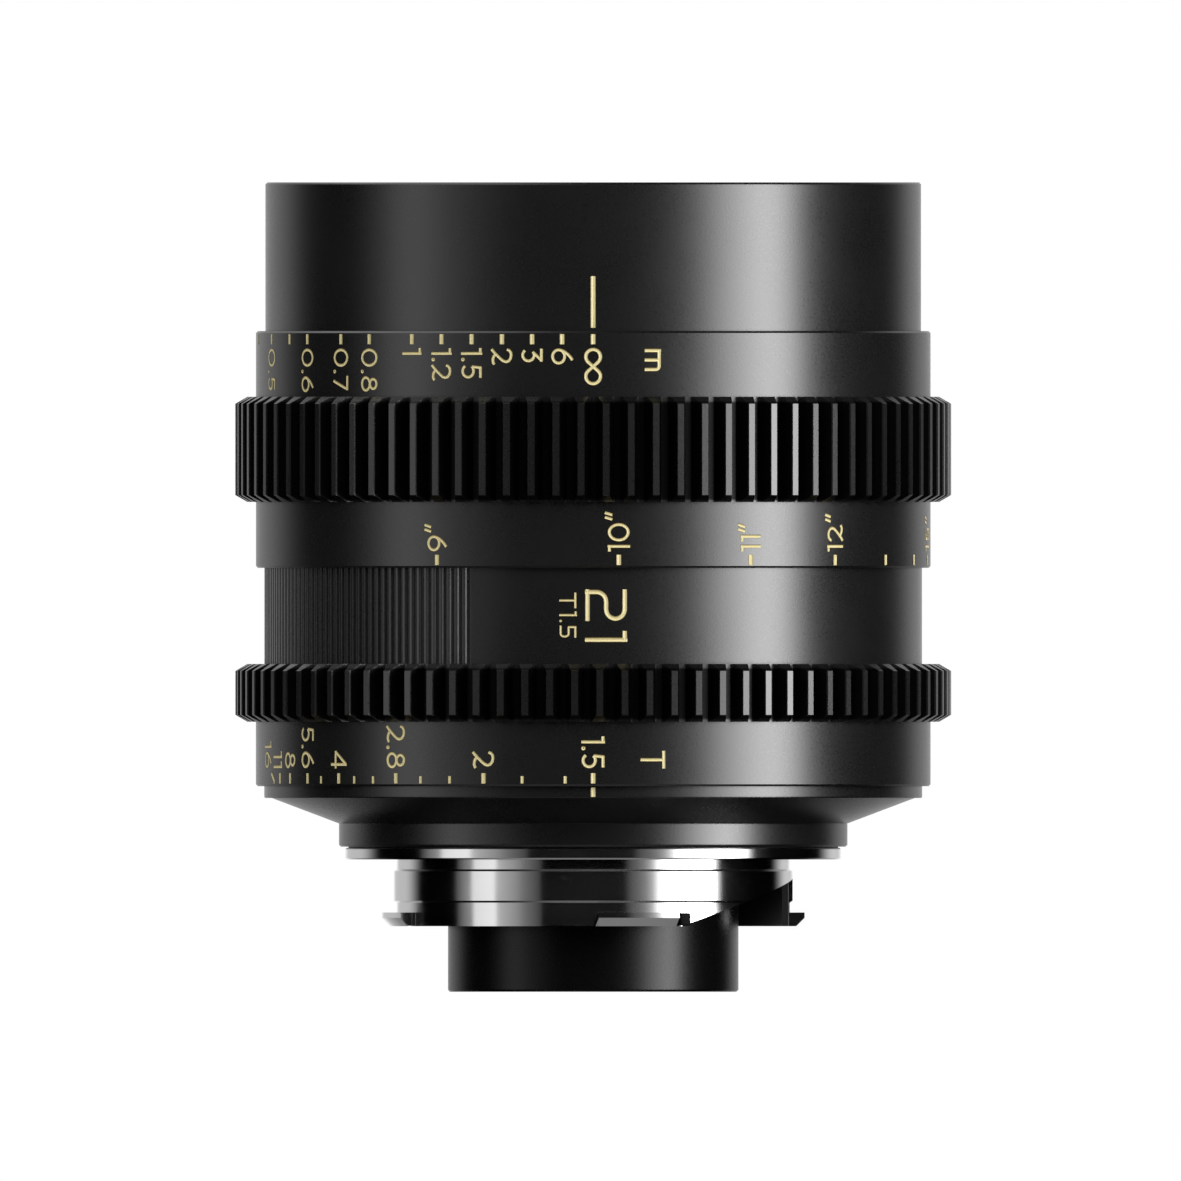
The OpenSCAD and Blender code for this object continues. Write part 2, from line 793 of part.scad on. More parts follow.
// Bayonet: flange, locating cylinder, lugs and the slanting relief beside the second lug
module mount_relief() {
    intersection() {
        arc_tube(r_bayonet_bore - over, r_lug + over, -bayonet_h - over, bayonet_h,
            from_index(cut_from), from_index(cut_to));
        translate([0, 0, cut_z])
            rotate([0, -cut_tilt, cut_turn])
                translate([-2 * r_lug, -2 * r_lug, -2 * r_lug])
                    cube([4 * r_lug, 4 * r_lug, 2 * r_lug]);
    }
}

// Small upright channel at the end of a lug
module lug_relief(a) {
    rotate([0, 0, from_index(a) + asin(relief_r / relief_at)])
        translate([relief_at, 0, -bayonet_h - over])
            cylinder(r = relief_r, h = lug_h + over, $fn = 32);
}

module bayonet_mount() {
    color(chrome)
        difference() {
            union() {
                rotate_extrude()
                    polygon([
                        [r_bayonet_bore, flange_t], [r_flange - flange_bevel, flange_t],
                        [r_flange, flange_t - flange_bevel], [r_flange, flange_bevel],
                        [r_flange - flange_bevel, 0], [r_seat, 0], [r_seat, seat_groove],
                        [r_neck, seat_groove], [r_neck, -neck_h],
                        [r_bayonet, -neck_h - land_bevel],
                        [r_bayonet, lug_h + neck_h + land_bevel - bayonet_h],
                        [r_neck, lug_h + neck_h - bayonet_h], [r_neck, -bayonet_h],
                        [r_bayonet_bore, -bayonet_h]
                    ]);
                for (i = [0 : lug_n - 1])
                    rotate([0, 0, from_index(lug_at + i * 360 / lug_n) - lug_width / 2])
                        rotate_extrude(angle = lug_width)
                            polygon([
                                [r_neck - neck_join, -bayonet_h], [r_lug - lug_chamfer, -bayonet_h],
                                [r_lug, lug_chamfer - bayonet_h], [r_lug, lug_h - bayonet_h],
                                [r_neck - neck_join, lug_h - bayonet_h]
                            ]);
            }
            mount_relief();
            for (i = [0 : lug_n - 1])
                lug_relief(lug_at + i * 360 / lug_n + lug_width / 2);
            for (i = [0 : mount_screw_n - 1])
                rotate([0, 0, i * 360 / mount_screw_n])
                    translate([mount_screw_r, 0, 0])
                        mount_screw_hole();
        }
}

module mount_screw_hole() {
    translate([0, 0, -eps])
        cylinder(d = mount_screw_d, h = flange_t + over, $fn = 48);
    translate([0, 0, -eps])
        cylinder(d1 = mount_head_d, d2 = mount_screw_d, h = mount_head_h + eps, $fn = 48);
}

module mount_screws() {
    gap = 2 * fit_seat;
    shank_h = mount_screw_l - mount_head_sink;
    color(steel)
        for (i = [0 : mount_screw_n - 1])
            rotate([0, 0, i * 360 / mount_screw_n])
                translate([mount_screw_r, 0, 0])
                    difference() {
                        union() {
                            translate([0, 0, mount_head_sink])
                                cylinder(d = mount_screw_d - gap, h = shank_h, $fn = 48);
                            translate([0, 0, mount_head_sink])
                                cylinder(d1 = mount_head_d - 3 * gap, d2 = mount_screw_d - gap,
                                    h = mount_head_h - mount_head_sink, $fn = 48);
                        }
                        for (a = [0, 90])
                            rotate([0, 0, a])
                                translate([-cross_l / 2, -cross_w / 2, 0])
                                    cube([cross_l, cross_w, cross_h]);
                    }
}

module alignment_bead() {
    color(red)
        radial(from_index(bead_at), bead_z, r_collar - bead_depth, r_collar + bead_proud,
            bead_d - 2 * fit_seat);
}

// Rear tube with the three rear elements
rear_stop = edge_top(rear_1);
rear_seat_3 = edge_bottom(rear_3);

module rear_tube() {
    color(black)
        rotate_extrude()
            polygon([
                [tube_bore + tube_mouth, -tube_h], [r_tube - edge_bevel, -tube_h],
                [r_tube, edge_bevel - tube_h], [r_tube, ledge_z],
                [ledge_r - fit_seat, ledge_z], [ledge_r - fit_seat, ledge_z + tube_flange_h],
                [r_tube, ledge_z + tube_flange_h], [r_tube, tube_top],
                [glass_r - lip, tube_top], [glass_r - lip, rear_stop],
                [tube_bore, rear_stop], [tube_bore, rear_seat_3 - tube_seat_h]
            ]);
}

module rear_tube_ring() {
    z = ledge_z + tube_flange_h;
    color(dull_black)
        tube(r_tube + fit_seat, ledge_r - fit_seat, z, tube_top - z);
}

module rear_element_1() {
    color(glass)
        element(rear_1);
}

module rear_element_2() {
    color(glass)
        element(rear_2);
}

module rear_element_3() {
    color(glass)
        element(rear_3);
}

module rear_spacer() {
    r = glass_r - spacer_lip;
    z0 = front_level(rear_3, r) + glass_play;
    z1 = rear_level(rear_2, r) - glass_play;
    color(dull_black)
        tube(r, glass_r, z0, z1 - z0);
}

module rear_retainer() {
    r = glass_r - rear_lip;
    z1 = rear_level(rear_3, r) - glass_play;
    color(dull_black)
        tube(r, tube_bore - fit_seat, z1 - retainer_h, retainer_h);
}

// Iris base with the blade pivots' holes
module iris_hole(i) {
    rotate([0, 0, from_index(iris_screw_at + i * 360 / iris_screw_n)])
        translate([iris_screw_r, 0, 0]) {
            translate([0, 0, iris_floor - iris_screw_l])
                cylinder(d = iris_screw_d, h = iris_screw_l + over, $fn = 32);
            translate([0, 0, iris_floor - iris_head_h])
                cylinder(d = iris_head_d, h = iris_head_h + over, $fn = 32);
        }
}

module iris_base() {
    color(dull_black)
        difference() {
            rotate_extrude()
                polygon([
                    [iris_skirt_r, floor_z], [r_iris_base, floor_z], [r_iris_base, cover_z],
                    [r_cam + fit_run, cover_z], [r_cam + fit_run, cam_z - fit_run],
                    [r_cam - cam_rest, cam_z - fit_run], [r_cam - cam_rest, iris_floor],
                    [r_aperture + rim_play, iris_floor],
                    [r_aperture + rim_play, iris_floor - iris_plate_t],
                    [iris_skirt_r, iris_floor - iris_plate_t]
                ]);
            for (i = [0 : blade_n - 1])
                rotate([0, 0, i * 360 / blade_n])
                    translate([pivot_r, 0, iris_floor - iris_plate_t - over])
                        cylinder(r = stud_r + fit_run, h = iris_plate_t + 2 * over, $fn = 48);
            for (i = [0 : iris_screw_n - 1])
                iris_hole(i);
            iris_slot(r_cam - cam_rest / 2, r_iris_base + over, pin_z - pin_d / 2 - pin_play,
                cover_z - pin_z + pin_d);
        }
}

module iris_screws() {
    color(steel)
        for (i = [0 : iris_screw_n - 1])
            rotate([0, 0, from_index(iris_screw_at + i * 360 / iris_screw_n)])
                translate([iris_screw_r, 0, iris_floor - iris_screw_l]) {
                    cylinder(d = iris_screw_d - 2 * fit_seat, h = iris_screw_l - rim_play, $fn = 32);
                    translate([0, 0, iris_screw_l - iris_head_h])
                        cylinder(d = iris_head_d - 2 * fit_seat, h = iris_head_h - rim_play, $fn = 32);
                }
}

module iris_cover() {
    color(dull_black)
        tube(r_cam - cover_rim, r_iris_base, cover_z, cover_h);
}

// Focus ring, its cam sleeve and the grub screws that join them
module focus_ring() {
    h = z_focus_top - z_focus;
    color(black)
        difference() {
            union() {
                bevelled_tube(r_focus_bore - eps, r_ring, z_focus, h, edge_bevel);
                gear_band(z_focus_gear, focus_gear_h, focus_tooth_at);
            }
            translate([0, 0, z_focus - over])
                cylinder(r = r_focus_bore, h = h + 2 * over);
            lip_seat(r_grip, z_focus + lip_h, -1);
            lip_seat(r_front, z_focus_top - lip_h, 1);
            for (a = focus_screws_at)
                radial(from_index(a), focus_screw_z, r_focus_bore - over, r_ring + over, grub_d);
        }
}

module focus_cam_sleeve() {
    color(brass)
        difference() {
            tube(r_ring_bore, r_sleeve, sleeve_bottom, sleeve_top - sleeve_bottom);
            polyhedron(points = cam_points, faces = cam_faces, convexity = 4);
            for (a = focus_screws_at)
                radial(from_index(a), focus_screw_z, r_sleeve - grub_bite, r_sleeve + over, grub_d);
        }
}

module focus_grub_screws() {
    color(steel)
        for (a = focus_screws_at)
            grub(from_index(a), focus_screw_z, r_sleeve - grub_bite, r_ring - grub_sink);
}

// Focus group
hub_wall = 2.5;
web_h = 2.5;
hub_r = focus_1[4] + hub_wall;
hub_low = carrier_z + 1;
hub_top = carrier_z + 15.2;
focus_lip = 1.1;
focus_clip_h = 1.4;
web_z = carrier_z + 6.5;
focus_ledge_r = 12.9;
focus_ledge_z = rear_level(focus_1, focus_ledge_r) - glass_play;
focus_bore_1 = focus_1[4] + fit_run;
focus_bore_2 = focus_2[4] + fit_run;

module focus_carrier() {
    color(black)
        difference() {
            rotate_extrude()
                polygon([
                    [focus_bore_2, hub_low], [hub_r, hub_low], [hub_r, web_z],
                    [carrier_r - carrier_rim, web_z], [carrier_r - carrier_rim, carrier_z],
                    [carrier_r, carrier_z], [carrier_r, carrier_z + carrier_rim_h],
                    [carrier_r - carrier_rim, carrier_z + carrier_rim_h],
                    [carrier_r - carrier_rim, web_z + web_h], [hub_r, web_z + web_h],
                    [hub_r, hub_top], [focus_bore_1, hub_top],
                    [focus_bore_1, focus_ledge_z], [focus_ledge_r, focus_ledge_z],
                    [focus_ledge_r, edge_top(focus_2)], [focus_bore_2, edge_top(focus_2)]
                ]);
            for (i = [0 : guide_n - 1])
                radial(from_index(drive_pin_at) + i * 360 / guide_n, guide_z,
                    carrier_r - guide_depth, carrier_r + over, guide_d);
        }
}

module focus_element_1() {
    color(glass)
        element(focus_1);
}

module focus_element_2() {
    color(glass)
        element(focus_2);
}

module focus_element_3() {
    color(glass)
        element(focus_3);
}

module focus_front_retainer() {
    r = focus_1[4] - focus_lip;
    z = front_level(focus_1, r) + glass_play;
    color(dull_black)
        tube(r, focus_bore_1 - fit_seat, z, retainer_h);
}

module focus_rear_retainer() {
    r = focus_3[4] - focus_lip;
    z = rear_level(focus_3, r) - glass_play;
    color(dull_black)
        tube(r, focus_bore_2 - fit_seat, z - focus_clip_h, focus_clip_h);
}

module guide_pin(i, r_end) {
    radial(from_index(drive_pin_at) + i * 360 / guide_n, guide_z, carrier_r - guide_depth, r_end,
        guide_d - 2 * eps);
}

module guide_pins() {
    color(steel)
        for (i = [1 : guide_n - 1])
            guide_pin(i, r_guide_end);
}

module drive_pin() {
    color(steel)
        guide_pin(0, r_drive_end);
}

// Iris ring, cam ring and the pin that joins them
iris_land = 2;
iris_relief = 1.3;
iris_pin_end = r_ring_bore + 1.7;
iris_pin_bite = 2.6;

module iris_ring() {
    h = z_iris_top - z_iris;
    color(black)
        difference() {
            union() {
                bevelled_tube(r_ring_bore - eps, r_ring, z_iris, h, edge_bevel);
                gear_band(z_iris_gear, iris_gear_h, iris_tooth_at);
            }
            translate([0, 0, z_iris - over])
                cylinder(r = r_ring_bore, h = h + 2 * over);
            lip_seat(r_trim, z_iris + lip_h, -1);
            lip_seat(r_grip, z_iris_top - lip_h, 1);
            translate([0, 0, z_iris + iris_land])
                cylinder(r = r_ring_bore + iris_relief, h = h - 2 * iris_land);
            radial(from_index(iris_pin_at), pin_z, r_ring_bore - over, iris_pin_end + rim_play, pin_d);
        }
}

module cam_slot() {
    linear_extrude(height = cam_h + 2 * over)
        polygon(slot_points);
    for (a = [0, iris_turn])
        translate(stud_place(a))
            cylinder(r = slot_half, h = cam_h + 2 * over, $fn = 32);
}

module iris_cam_ring() {
    color(steel)
        difference() {
            tube(r_cam_bore, r_cam, cam_z, cam_h);
            for (i = [0 : blade_n - 1])
                rotate([0, 0, i * 360 / blade_n])
                    translate([0, 0, cam_z - over])
                        cam_slot();
            radial(from_index(iris_pin_at), pin_z, r_cam - iris_pin_bite, r_cam + over, pin_d);
        }
}

module iris_drive_pin() {
    color(steel)
        radial(from_index(iris_pin_at), pin_z, r_cam - iris_pin_bite, iris_pin_end, pin_d - 2 * fit_seat);
}

// One iris blade: a thin arc with a tab that carries its pivot below and its drive stud above
tab_in = r_blade - 1;
stud_short = 0.3;
tab_out = pivot_r + tab_margin;
tab_angle = asin(tab_margin / pivot_r);

module iris_blade(i) {
    z = blade_z + i * blade_step;
    color(steel)
        rotate([0, 0, i * 360 / blade_n]) {
            arc_tube(r_aperture, r_blade, z, blade_t, -tab_angle, blade_arc);
            arc_tube(tab_in, tab_out, z, blade_t, -tab_angle, stud_at + tab_angle);
            translate([pivot_r, 0, iris_floor - iris_plate_t + rim_play])
                cylinder(r = stud_r, h = z - iris_floor + iris_plate_t, $fn = 48);
            translate([stud_start[0], stud_start[1], z])
                cylinder(r = stud_r, h = cam_top - stud_short - z, $fn = 48);
        }
}

front_barrel();
front_baffle();
front_cell();
front_element();
front_retainer();
second_element();
second_retainer();
main_barrel();
focus_washers();
grip_barrel();
grip_screws();
rear_housing();
housing_screws();
mount_shim();
bayonet_mount();
mount_screws();
alignment_bead();
rear_tube();
rear_tube_ring();
rear_element_1();
rear_element_2();
rear_element_3();
rear_spacer();
rear_retainer();
iris_base();
iris_screws();
iris_cover();
focus_ring();
focus_cam_sleeve();
focus_grub_screws();
focus_carrier();
focus_element_1();
focus_element_2();
focus_element_3();
focus_front_retainer();
focus_rear_retainer();
guide_pins();
drive_pin();
iris_ring();
iris_cam_ring();
iris_drive_pin();
iris_blade(0);  // iris_blade_1
iris_blade(1);  // iris_blade_2
iris_blade(2);  // iris_blade_3
iris_blade(3);  // iris_blade_4
iris_blade(4);  // iris_blade_5
iris_blade(5);  // iris_blade_6
iris_blade(6);  // iris_blade_7
iris_blade(7);  // iris_blade_8
iris_blade(8);  // iris_blade_9
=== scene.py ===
import json
import math

import bpy
from bpy.props import FloatProperty, FloatVectorProperty, PointerProperty
from bpy.types import Operator, Panel, PropertyGroup
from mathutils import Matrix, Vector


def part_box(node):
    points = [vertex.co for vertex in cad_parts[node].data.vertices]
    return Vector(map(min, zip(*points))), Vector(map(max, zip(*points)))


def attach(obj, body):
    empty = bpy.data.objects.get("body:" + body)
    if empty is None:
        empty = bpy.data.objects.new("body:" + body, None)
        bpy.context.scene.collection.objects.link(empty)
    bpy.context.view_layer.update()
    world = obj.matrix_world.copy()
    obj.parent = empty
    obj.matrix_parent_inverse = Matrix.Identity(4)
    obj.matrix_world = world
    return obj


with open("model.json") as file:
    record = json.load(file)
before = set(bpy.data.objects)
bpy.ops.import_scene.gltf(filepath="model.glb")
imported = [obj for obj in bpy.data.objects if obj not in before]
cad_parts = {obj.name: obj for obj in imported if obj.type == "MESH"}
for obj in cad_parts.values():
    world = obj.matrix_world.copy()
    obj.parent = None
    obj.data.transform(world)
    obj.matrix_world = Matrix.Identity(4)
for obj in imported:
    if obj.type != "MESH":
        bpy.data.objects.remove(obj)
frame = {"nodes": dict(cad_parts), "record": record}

bl_info = {
    "name": "Cinema prime lens",
    "version": (1, 0, 0),
    "blender": (4, 5, 0),
    "location": "View3D > Sidebar > Lens",
    "description": "Finishes, scales and studio for a cinema prime lens",
    "category": "Object",
}

MM = 0.001

# Radii that the marks lie on, in millimetres, as in the CAD
R_RING = 34.3
R_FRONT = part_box("front_barrel")[1].x / MM
R_GRIP = 33.43
R_TRIM = 33.45


class FinishSettings(PropertyGroup):
    """Colours and gloss of the lens's metals, paint and glass."""

    black: FloatVectorProperty(
        name="Anodised black", description="Colour of the outer barrels and rings",
        default=(0.088, 0.088, 0.088), min=0, max=1, size=3, subtype="COLOR",
    )
    black_rough: FloatProperty(
        name="Anodised roughness", description="Roughness of the blasted black finish",
        default=0.29, min=0, max=1, subtype="FACTOR",
    )
    tube: FloatVectorProperty(
        name="Rear tube black", description="Colour of the tube behind the bayonet",
        default=(0.028, 0.028, 0.028), min=0, max=1, size=3, subtype="COLOR",
    )
    grain: FloatProperty(
        name="Blasted grain", description="Size of the blasted grain",
        default=0.2 * MM, unit="LENGTH", precision=5,
    )
    edge: FloatProperty(
        name="Edge radius", description="Radius that the light sees on the edges of the black metal",
        default=0.2 * MM, unit="LENGTH", precision=5,
    )
    chrome: FloatVectorProperty(
        name="Chrome", description="Colour of the bayonet",
        default=(0.88, 0.88, 0.88), min=0, max=1, size=3, subtype="COLOR",
    )
    paint: FloatVectorProperty(
        name="Scale paint", description="Colour of the filled marks",
        default=(0.66, 0.57, 0.285), min=0, max=1, size=3, subtype="COLOR",
    )
    # The edge colour is painted shade: it darkens each mark's rim and upper side as a groove's walls are
    # shaded
    paint_edge_shade: FloatVectorProperty(
        name="Scale paint edge", description="Colour of the marks where the fill runs thin",
        default=(0.24, 0.17, 0.04), min=0, max=1, size=3, subtype="COLOR",
    )
    glass: FloatVectorProperty(
        name="Glass", description="Tint of the lens elements",
        default=(0.93, 0.96, 0.96), min=0, max=1, size=3, subtype="COLOR",
    )


class MarkSettings(PropertyGroup):
    """Sizes of the engraved and filled marks."""

    cap: FloatProperty(
        name="Numeral height", description="Height of the focus scale's numerals",
        default=2.29 * MM, unit="LENGTH", precision=5,
    )
    iris_cap: FloatProperty(
        name="Iris numeral height", description="Height of the iris scale's numerals",
        default=2.4 * MM, unit="LENGTH", precision=5,
    )
    stroke: FloatProperty(
        name="Stroke", description="Width of a numeral's stroke, as a share of its height",
        default=0.147, min=0.05, max=0.3, subtype="FACTOR",
    )
    tick: FloatProperty(
        name="Tick width", description="Width of a main tick",
        default=0.52 * MM, unit="LENGTH", precision=5,
    )
    small_tick: FloatProperty(
        name="Small tick width", description="Width of a tick between two stops",
        default=0.36 * MM, unit="LENGTH", precision=5,
    )
    swell: FloatProperty(
        name="Swell", description="Height of a mark's fill, as a share of half its width",
        default=0.16, min=0.02, max=0.5, subtype="FACTOR",
    )


class StudioSettings(PropertyGroup):
    """Camera, lamps and background."""

    view_width: FloatProperty(
        name="View width", description="Width that the camera takes in",
        default=120.08 * MM, unit="LENGTH", precision=5,
    )
    key: FloatProperty(
        name="Key lamp", description="Power of the tall lamp on the right",
        default=10.4, unit="POWER",
    )
    fill: FloatProperty(
        name="Fill lamp", description="Power of the lamp on the left",
        default=0.99, unit="POWER",
    )
    floor: FloatVectorProperty(
        name="Floor", description="Colour of the floor",
        default=(0.8, 0.8, 0.8), min=0, max=1, size=3, subtype="COLOR",
    )


class Shade:
    """One output of a shader node, which takes part in Python sums."""

    def __init__(self, tree, out=None):
        self.tree = tree
        self.out = out

    def node(self, kind, settings=None, values=None, out=0):
        """Adds a node: its settings first, then the values or links of its sockets."""
        made = self.tree.nodes.new(kind)
        for key, value in (settings or {}).items():
            if key == "stops":
                ramp = made.color_ramp.elements
                while len(ramp) < len(value):
                    ramp.new(1)
                for element, (place, colour) in zip(ramp, value):
                    element.position = place
                    element.color = colour
            else:
                setattr(made, key, value)
        for key, value in (values or {}).items():
            if isinstance(value, Shade):
                self.tree.links.new(value.out, made.inputs[key])
            else:
                made.inputs[key].default_value = value
        return Shade(self.tree, made.outputs[out])

    def math(self, operation, a, b=0.0):
        return self.node("ShaderNodeMath", {"operation": operation}, {0: a, 1: b})

    def __add__(self, other):
        return self.math("ADD", self, other)

    def __radd__(self, other):
        return self.math("ADD", other, self)

    def __sub__(self, other):
        return self.math("SUBTRACT", self, other)

    def __rsub__(self, other):
        return self.math("SUBTRACT", other, self)

    def __mul__(self, other):
        return self.math("MULTIPLY", self, other)

    def __rmul__(self, other):
        return self.math("MULTIPLY", other, self)

    def __pow__(self, other):
        return self.math("POWER", self, other)

    def place(self):
        """The point on the piece, in metres."""
        return self.node("ShaderNodeTexCoord", out="Object")

    def axes(self, vector):
        """The three numbers of a vector."""
        split = self.node("ShaderNodeSeparateXYZ", values={0: vector}).out.node
        return [Shade(self.tree, split.outputs[i]) for i in range(3)]

    def noise(self, vector, size, detail=2.0):
        """Soft noise from 0 to 1 whose lumps are about the given size in metres."""
        return self.node(
            "ShaderNodeTexNoise", values={"Vector": vector, "Scale": 1 / size, "Detail": detail},
        )

    def between(self, value, low, high):
        """0 below low, 1 above high and smooth between them."""
        return self.node(
            "ShaderNodeMapRange", {"interpolation_type": "SMOOTHSTEP"},
            {"Value": value, "From Min": low, "From Max": high},
        )

    def mix(self, factor, a, b):
        """Colour a where factor is 0 and colour b where it is 1."""
        return self.node(
            "ShaderNodeMix", {"data_type": "RGBA"},
            {"Factor": factor, 6: a, 7: b}, out=2,
        )

    def bump(self, height, strength, depth, edge=None):
        """A normal that follows a height, with sharp edges rounded off by a radius."""
        made = self.node(
            "ShaderNodeBump", values={"Strength": strength, "Distance": depth, "Height": height},
        )
        if edge:
            rounded = self.node("ShaderNodeBevel", {"samples": 6}, {"Radius": edge})
            self.tree.links.new(rounded.out, made.out.node.inputs["Normal"])
        return made


def rgba(colour, share=1.0):
    return (*[channel * share for channel in colour], 1.0)


def new_material(name):
    """A material with its principled shader and a start for its other nodes."""
    material = bpy.data.materials.new(name)
    material.use_nodes = True
    tree = material.node_tree
    return material, Shade(tree), tree.nodes["Principled BSDF"]


def feed(shader, **inputs):
    """Sets or links sockets of the principled shader; an underscore stands for a space."""
    for key, value in inputs.items():
        socket = shader.inputs[key.replace("_", " ")]
        if isinstance(value, Shade):
            value.tree.links.new(value.out, socket)
        else:
            socket.default_value = value


# Shares of the black's tone: its darkest and its lightest grain, and the painted shade in the gaps between
# the teeth
TONE_LOW, TONE_HIGH, GAP_SHADE_TONE = 0.86, 1.14, 0.15

# Widths in millimetres over which the painted shade of a tooth gap fades: at its root, at its tip and at its
# ends
SHADE_FADE_ROOT, SHADE_FADE_TIP, SHADE_FADE_END = 0.05, 0.1, 0.3


def black_metal(name, tone, rough, grain, edge, gap_shade=None):
    """Blasted and anodised metal: fine grain in gloss, tone and normal, slow change in tone.

    The last argument gives two radii and two levels in millimetres between which the tooth gaps are
    darkened: painted shade of the gaps between the teeth.
    """
    material, shade, shader = new_material(name)
    place = shade.place()
    fine = shade.noise(place, grain, 1.0)
    slow = shade.noise(place, 40 * grain, 3.0)
    colour = shade.mix(0.4 * fine + 0.6 * slow, rgba(tone, TONE_LOW), rgba(tone, TONE_HIGH))
    # Painted shade: the tooth gaps are darkened where shade falls between the teeth
    if gap_shade:
        x, y, z = shade.axes(place)
        reach = (x * x + y * y) ** 0.5
        root, tip, low, high = [edge_at * MM for edge_at in gap_shade]
        gap = shade.between(reach, root, root + SHADE_FADE_ROOT * MM)
        gap = gap * (1 - shade.between(reach, tip - SHADE_FADE_TIP * MM, tip))
        gap = gap * shade.between(z, low, low + SHADE_FADE_END * MM)
        gap = gap * (1 - shade.between(z, high - SHADE_FADE_END * MM, high))
        colour = shade.mix(gap, colour, rgba(tone, GAP_SHADE_TONE))
    feed(
        shader,
        Base_Color=colour,
        Roughness=rough + 0.1 * (fine - 0.5) + 0.05 * (slow - 0.5),
        Normal=shade.bump(fine, 0.22, 0.08 * grain, edge),
        Metallic=0.95,
    )
    return material


def inside_black():
    """Matt paint of the inner faces."""
    material, shade, shader = new_material("inside_black")
    place = shade.place()
    fine = shade.noise(place, 0.12 * MM, 3.0)
    slow = shade.noise(place, 3 * MM)
    feed(
        shader,
        Base_Color=shade.mix(slow, (0.004, 0.004, 0.0042, 1), (0.009, 0.009, 0.0095, 1)),
        Roughness=0.62 + 0.16 * fine,
        Normal=shade.bump(fine, 0.3, 0.02 * MM),
    )
    return material


def turned_metal(name, tone, rough, spacing, lift=0.5, bore=None):
    """Turned metal whose fine lines run round the axis; a bore inside the radius is matt black."""
    material, shade, shader = new_material(name)
    place = shade.place()
    x, y, z = shade.axes(place)
    reach = (x * x + y * y) ** 0.5
    run = shade.node("ShaderNodeCombineXYZ", values={0: reach, 1: z})
    lines = shade.noise(run, spacing, 1.0)
    slow = shade.noise(place, 4 * MM)
    colour = shade.mix(slow, rgba(tone, 0.94), rgba(tone, 1.04))
    gloss = rough + 0.08 * (lines - 0.5) + 0.06 * (slow - 0.5)
    metal = 1.0
    if bore:
        skin = shade.between(reach, bore - 0.03 * MM, bore + 0.03 * MM)
        colour = shade.mix(skin, (0.006, 0.006, 0.0065, 1), colour)
        gloss = 0.6 + skin * (gloss - 0.6)
        metal = skin
    feed(
        shader, Base_Color=colour, Roughness=gloss, Metallic=metal,
        Normal=shade.bump(lines, lift, 0.002 * MM),
    )
    return material


def coated_glass(name, tint, sheen):
    """Clear element with a coloured coating."""
    material, shade, shader = new_material(name)
    place = shade.place()
    dust = shade.noise(place, 0.5 * MM, 4.0)
    feed(
        shader, Base_Color=rgba(tint), Transmission_Weight=1.0, IOR=1.55,
        Specular_Tint=rgba(sheen), Roughness=0.004 * shade.between(dust, 0.62, 0.8),
    )
    return material


def blade_steel():
    """Blackened steel of the iris blades, brushed along each blade."""
    material, shade, shader = new_material("blade_black")
    place = shade.place()
    x, y, _ = shade.axes(place)
    reach = (x * x + y * y) ** 0.5
    brush = shade.noise(shade.node("ShaderNodeCombineXYZ", values={0: reach}), 0.06 * MM)
    feed(
        shader,
        Base_Color=shade.mix(brush, (0.012, 0.012, 0.013, 1), (0.03, 0.03, 0.032, 1)),
        Metallic=0.6, Roughness=0.38 + 0.12 * brush, Normal=shade.bump(brush, 0.2, 0.004 * MM),
    )
    return material


def red_gloss():
    """Glossy red of the alignment bead."""
    material, shade, shader = new_material("red_mark")
    slow = shade.noise(shade.place(), 0.4 * MM)
    feed(
        shader, Base_Color=shade.mix(slow, (0.5, 0.01, 0.012, 1), (0.62, 0.02, 0.02, 1)),
        Roughness=0.2 + 0.08 * slow, Coat_Weight=0.4,
    )
    return material


def scale_paint(name, radius, paint, edge):
    """Filled engraving on a barrel of a radius in millimetres, with the shading of a shallow groove.

    The edge colour along a stroke's rim and upper side is painted shade of a groove's walls, and the lower
    side is lightened as a painted highlight from light above.
    """
    material, shade, shader = new_material(name)
    place = shade.place()
    x, y, _ = shade.axes(place)
    rise = (x * x + y * y) ** 0.5 - radius * MM
    speck = shade.noise(place, 0.25 * MM)
    # Painted shade and highlight by facing: upward-facing sides take the edge colour, downward-facing sides
    # are lightened, as light from above falls in a groove
    facing_up = shade.axes(shade.node("ShaderNodeTexCoord", out="Normal"))[2]
    upper_shade = shade.between(facing_up, 0.02, 0.3)
    lower_highlight = shade.between(facing_up, -0.04, -0.3)
    # Painted shade: the rim of each stroke, where the fill is low, takes the edge colour
    unshaded_core = shade.between(rise, 0.004 * MM, 0.022 * MM) * (1 - upper_shade)
    bright = shade.mix(speck, rgba(paint, 0.94), rgba(paint, 1.04))
    full = shade.mix(lower_highlight, bright, rgba(paint, 1.4))
    feed(
        shader, Base_Color=shade.mix(unshaded_core, rgba(edge), full),
        Roughness=0.4 + 0.14 * speck, Normal=shade.bump(0.003 * MM * speck - 9 * rise, 1.0, 1.0),
    )
    return material


def arc(x, y, across, up, start, stop):
    """Points of an arc about (x, y); angles in degrees."""
    count = max(3, round(abs(stop - start) / 15) + 1)
    turns = [math.radians(start + (stop - start) * i / (count - 1)) for i in range(count)]
    return [(x + across * math.cos(t), y + up * math.sin(t)) for t in turns]


def ring(x, y, across, up):
    """Points of a closed loop about (x, y)."""
    return arc(x, y, across, up, 0, 345)


def line(x0, y0, x1, y1, count=7):
    """Points of a straight stroke."""
    return [(x0 + (x1 - x0) * i / count, y0 + (y1 - y0) * i / count) for i in range(count + 1)]


def turned_over(strokes, width):
    """The same strokes turned by half a turn."""
    return [[(width - x, 1 - y) for x, y in stroke] for stroke in strokes]


SIX = [
    ring(0.37, 0.345, 0.295, 0.27),
    [(0.08, 0.4), (0.11, 0.5), (0.17, 0.62), (0.27, 0.75), (0.4, 0.87), (0.53, 0.96)],
]

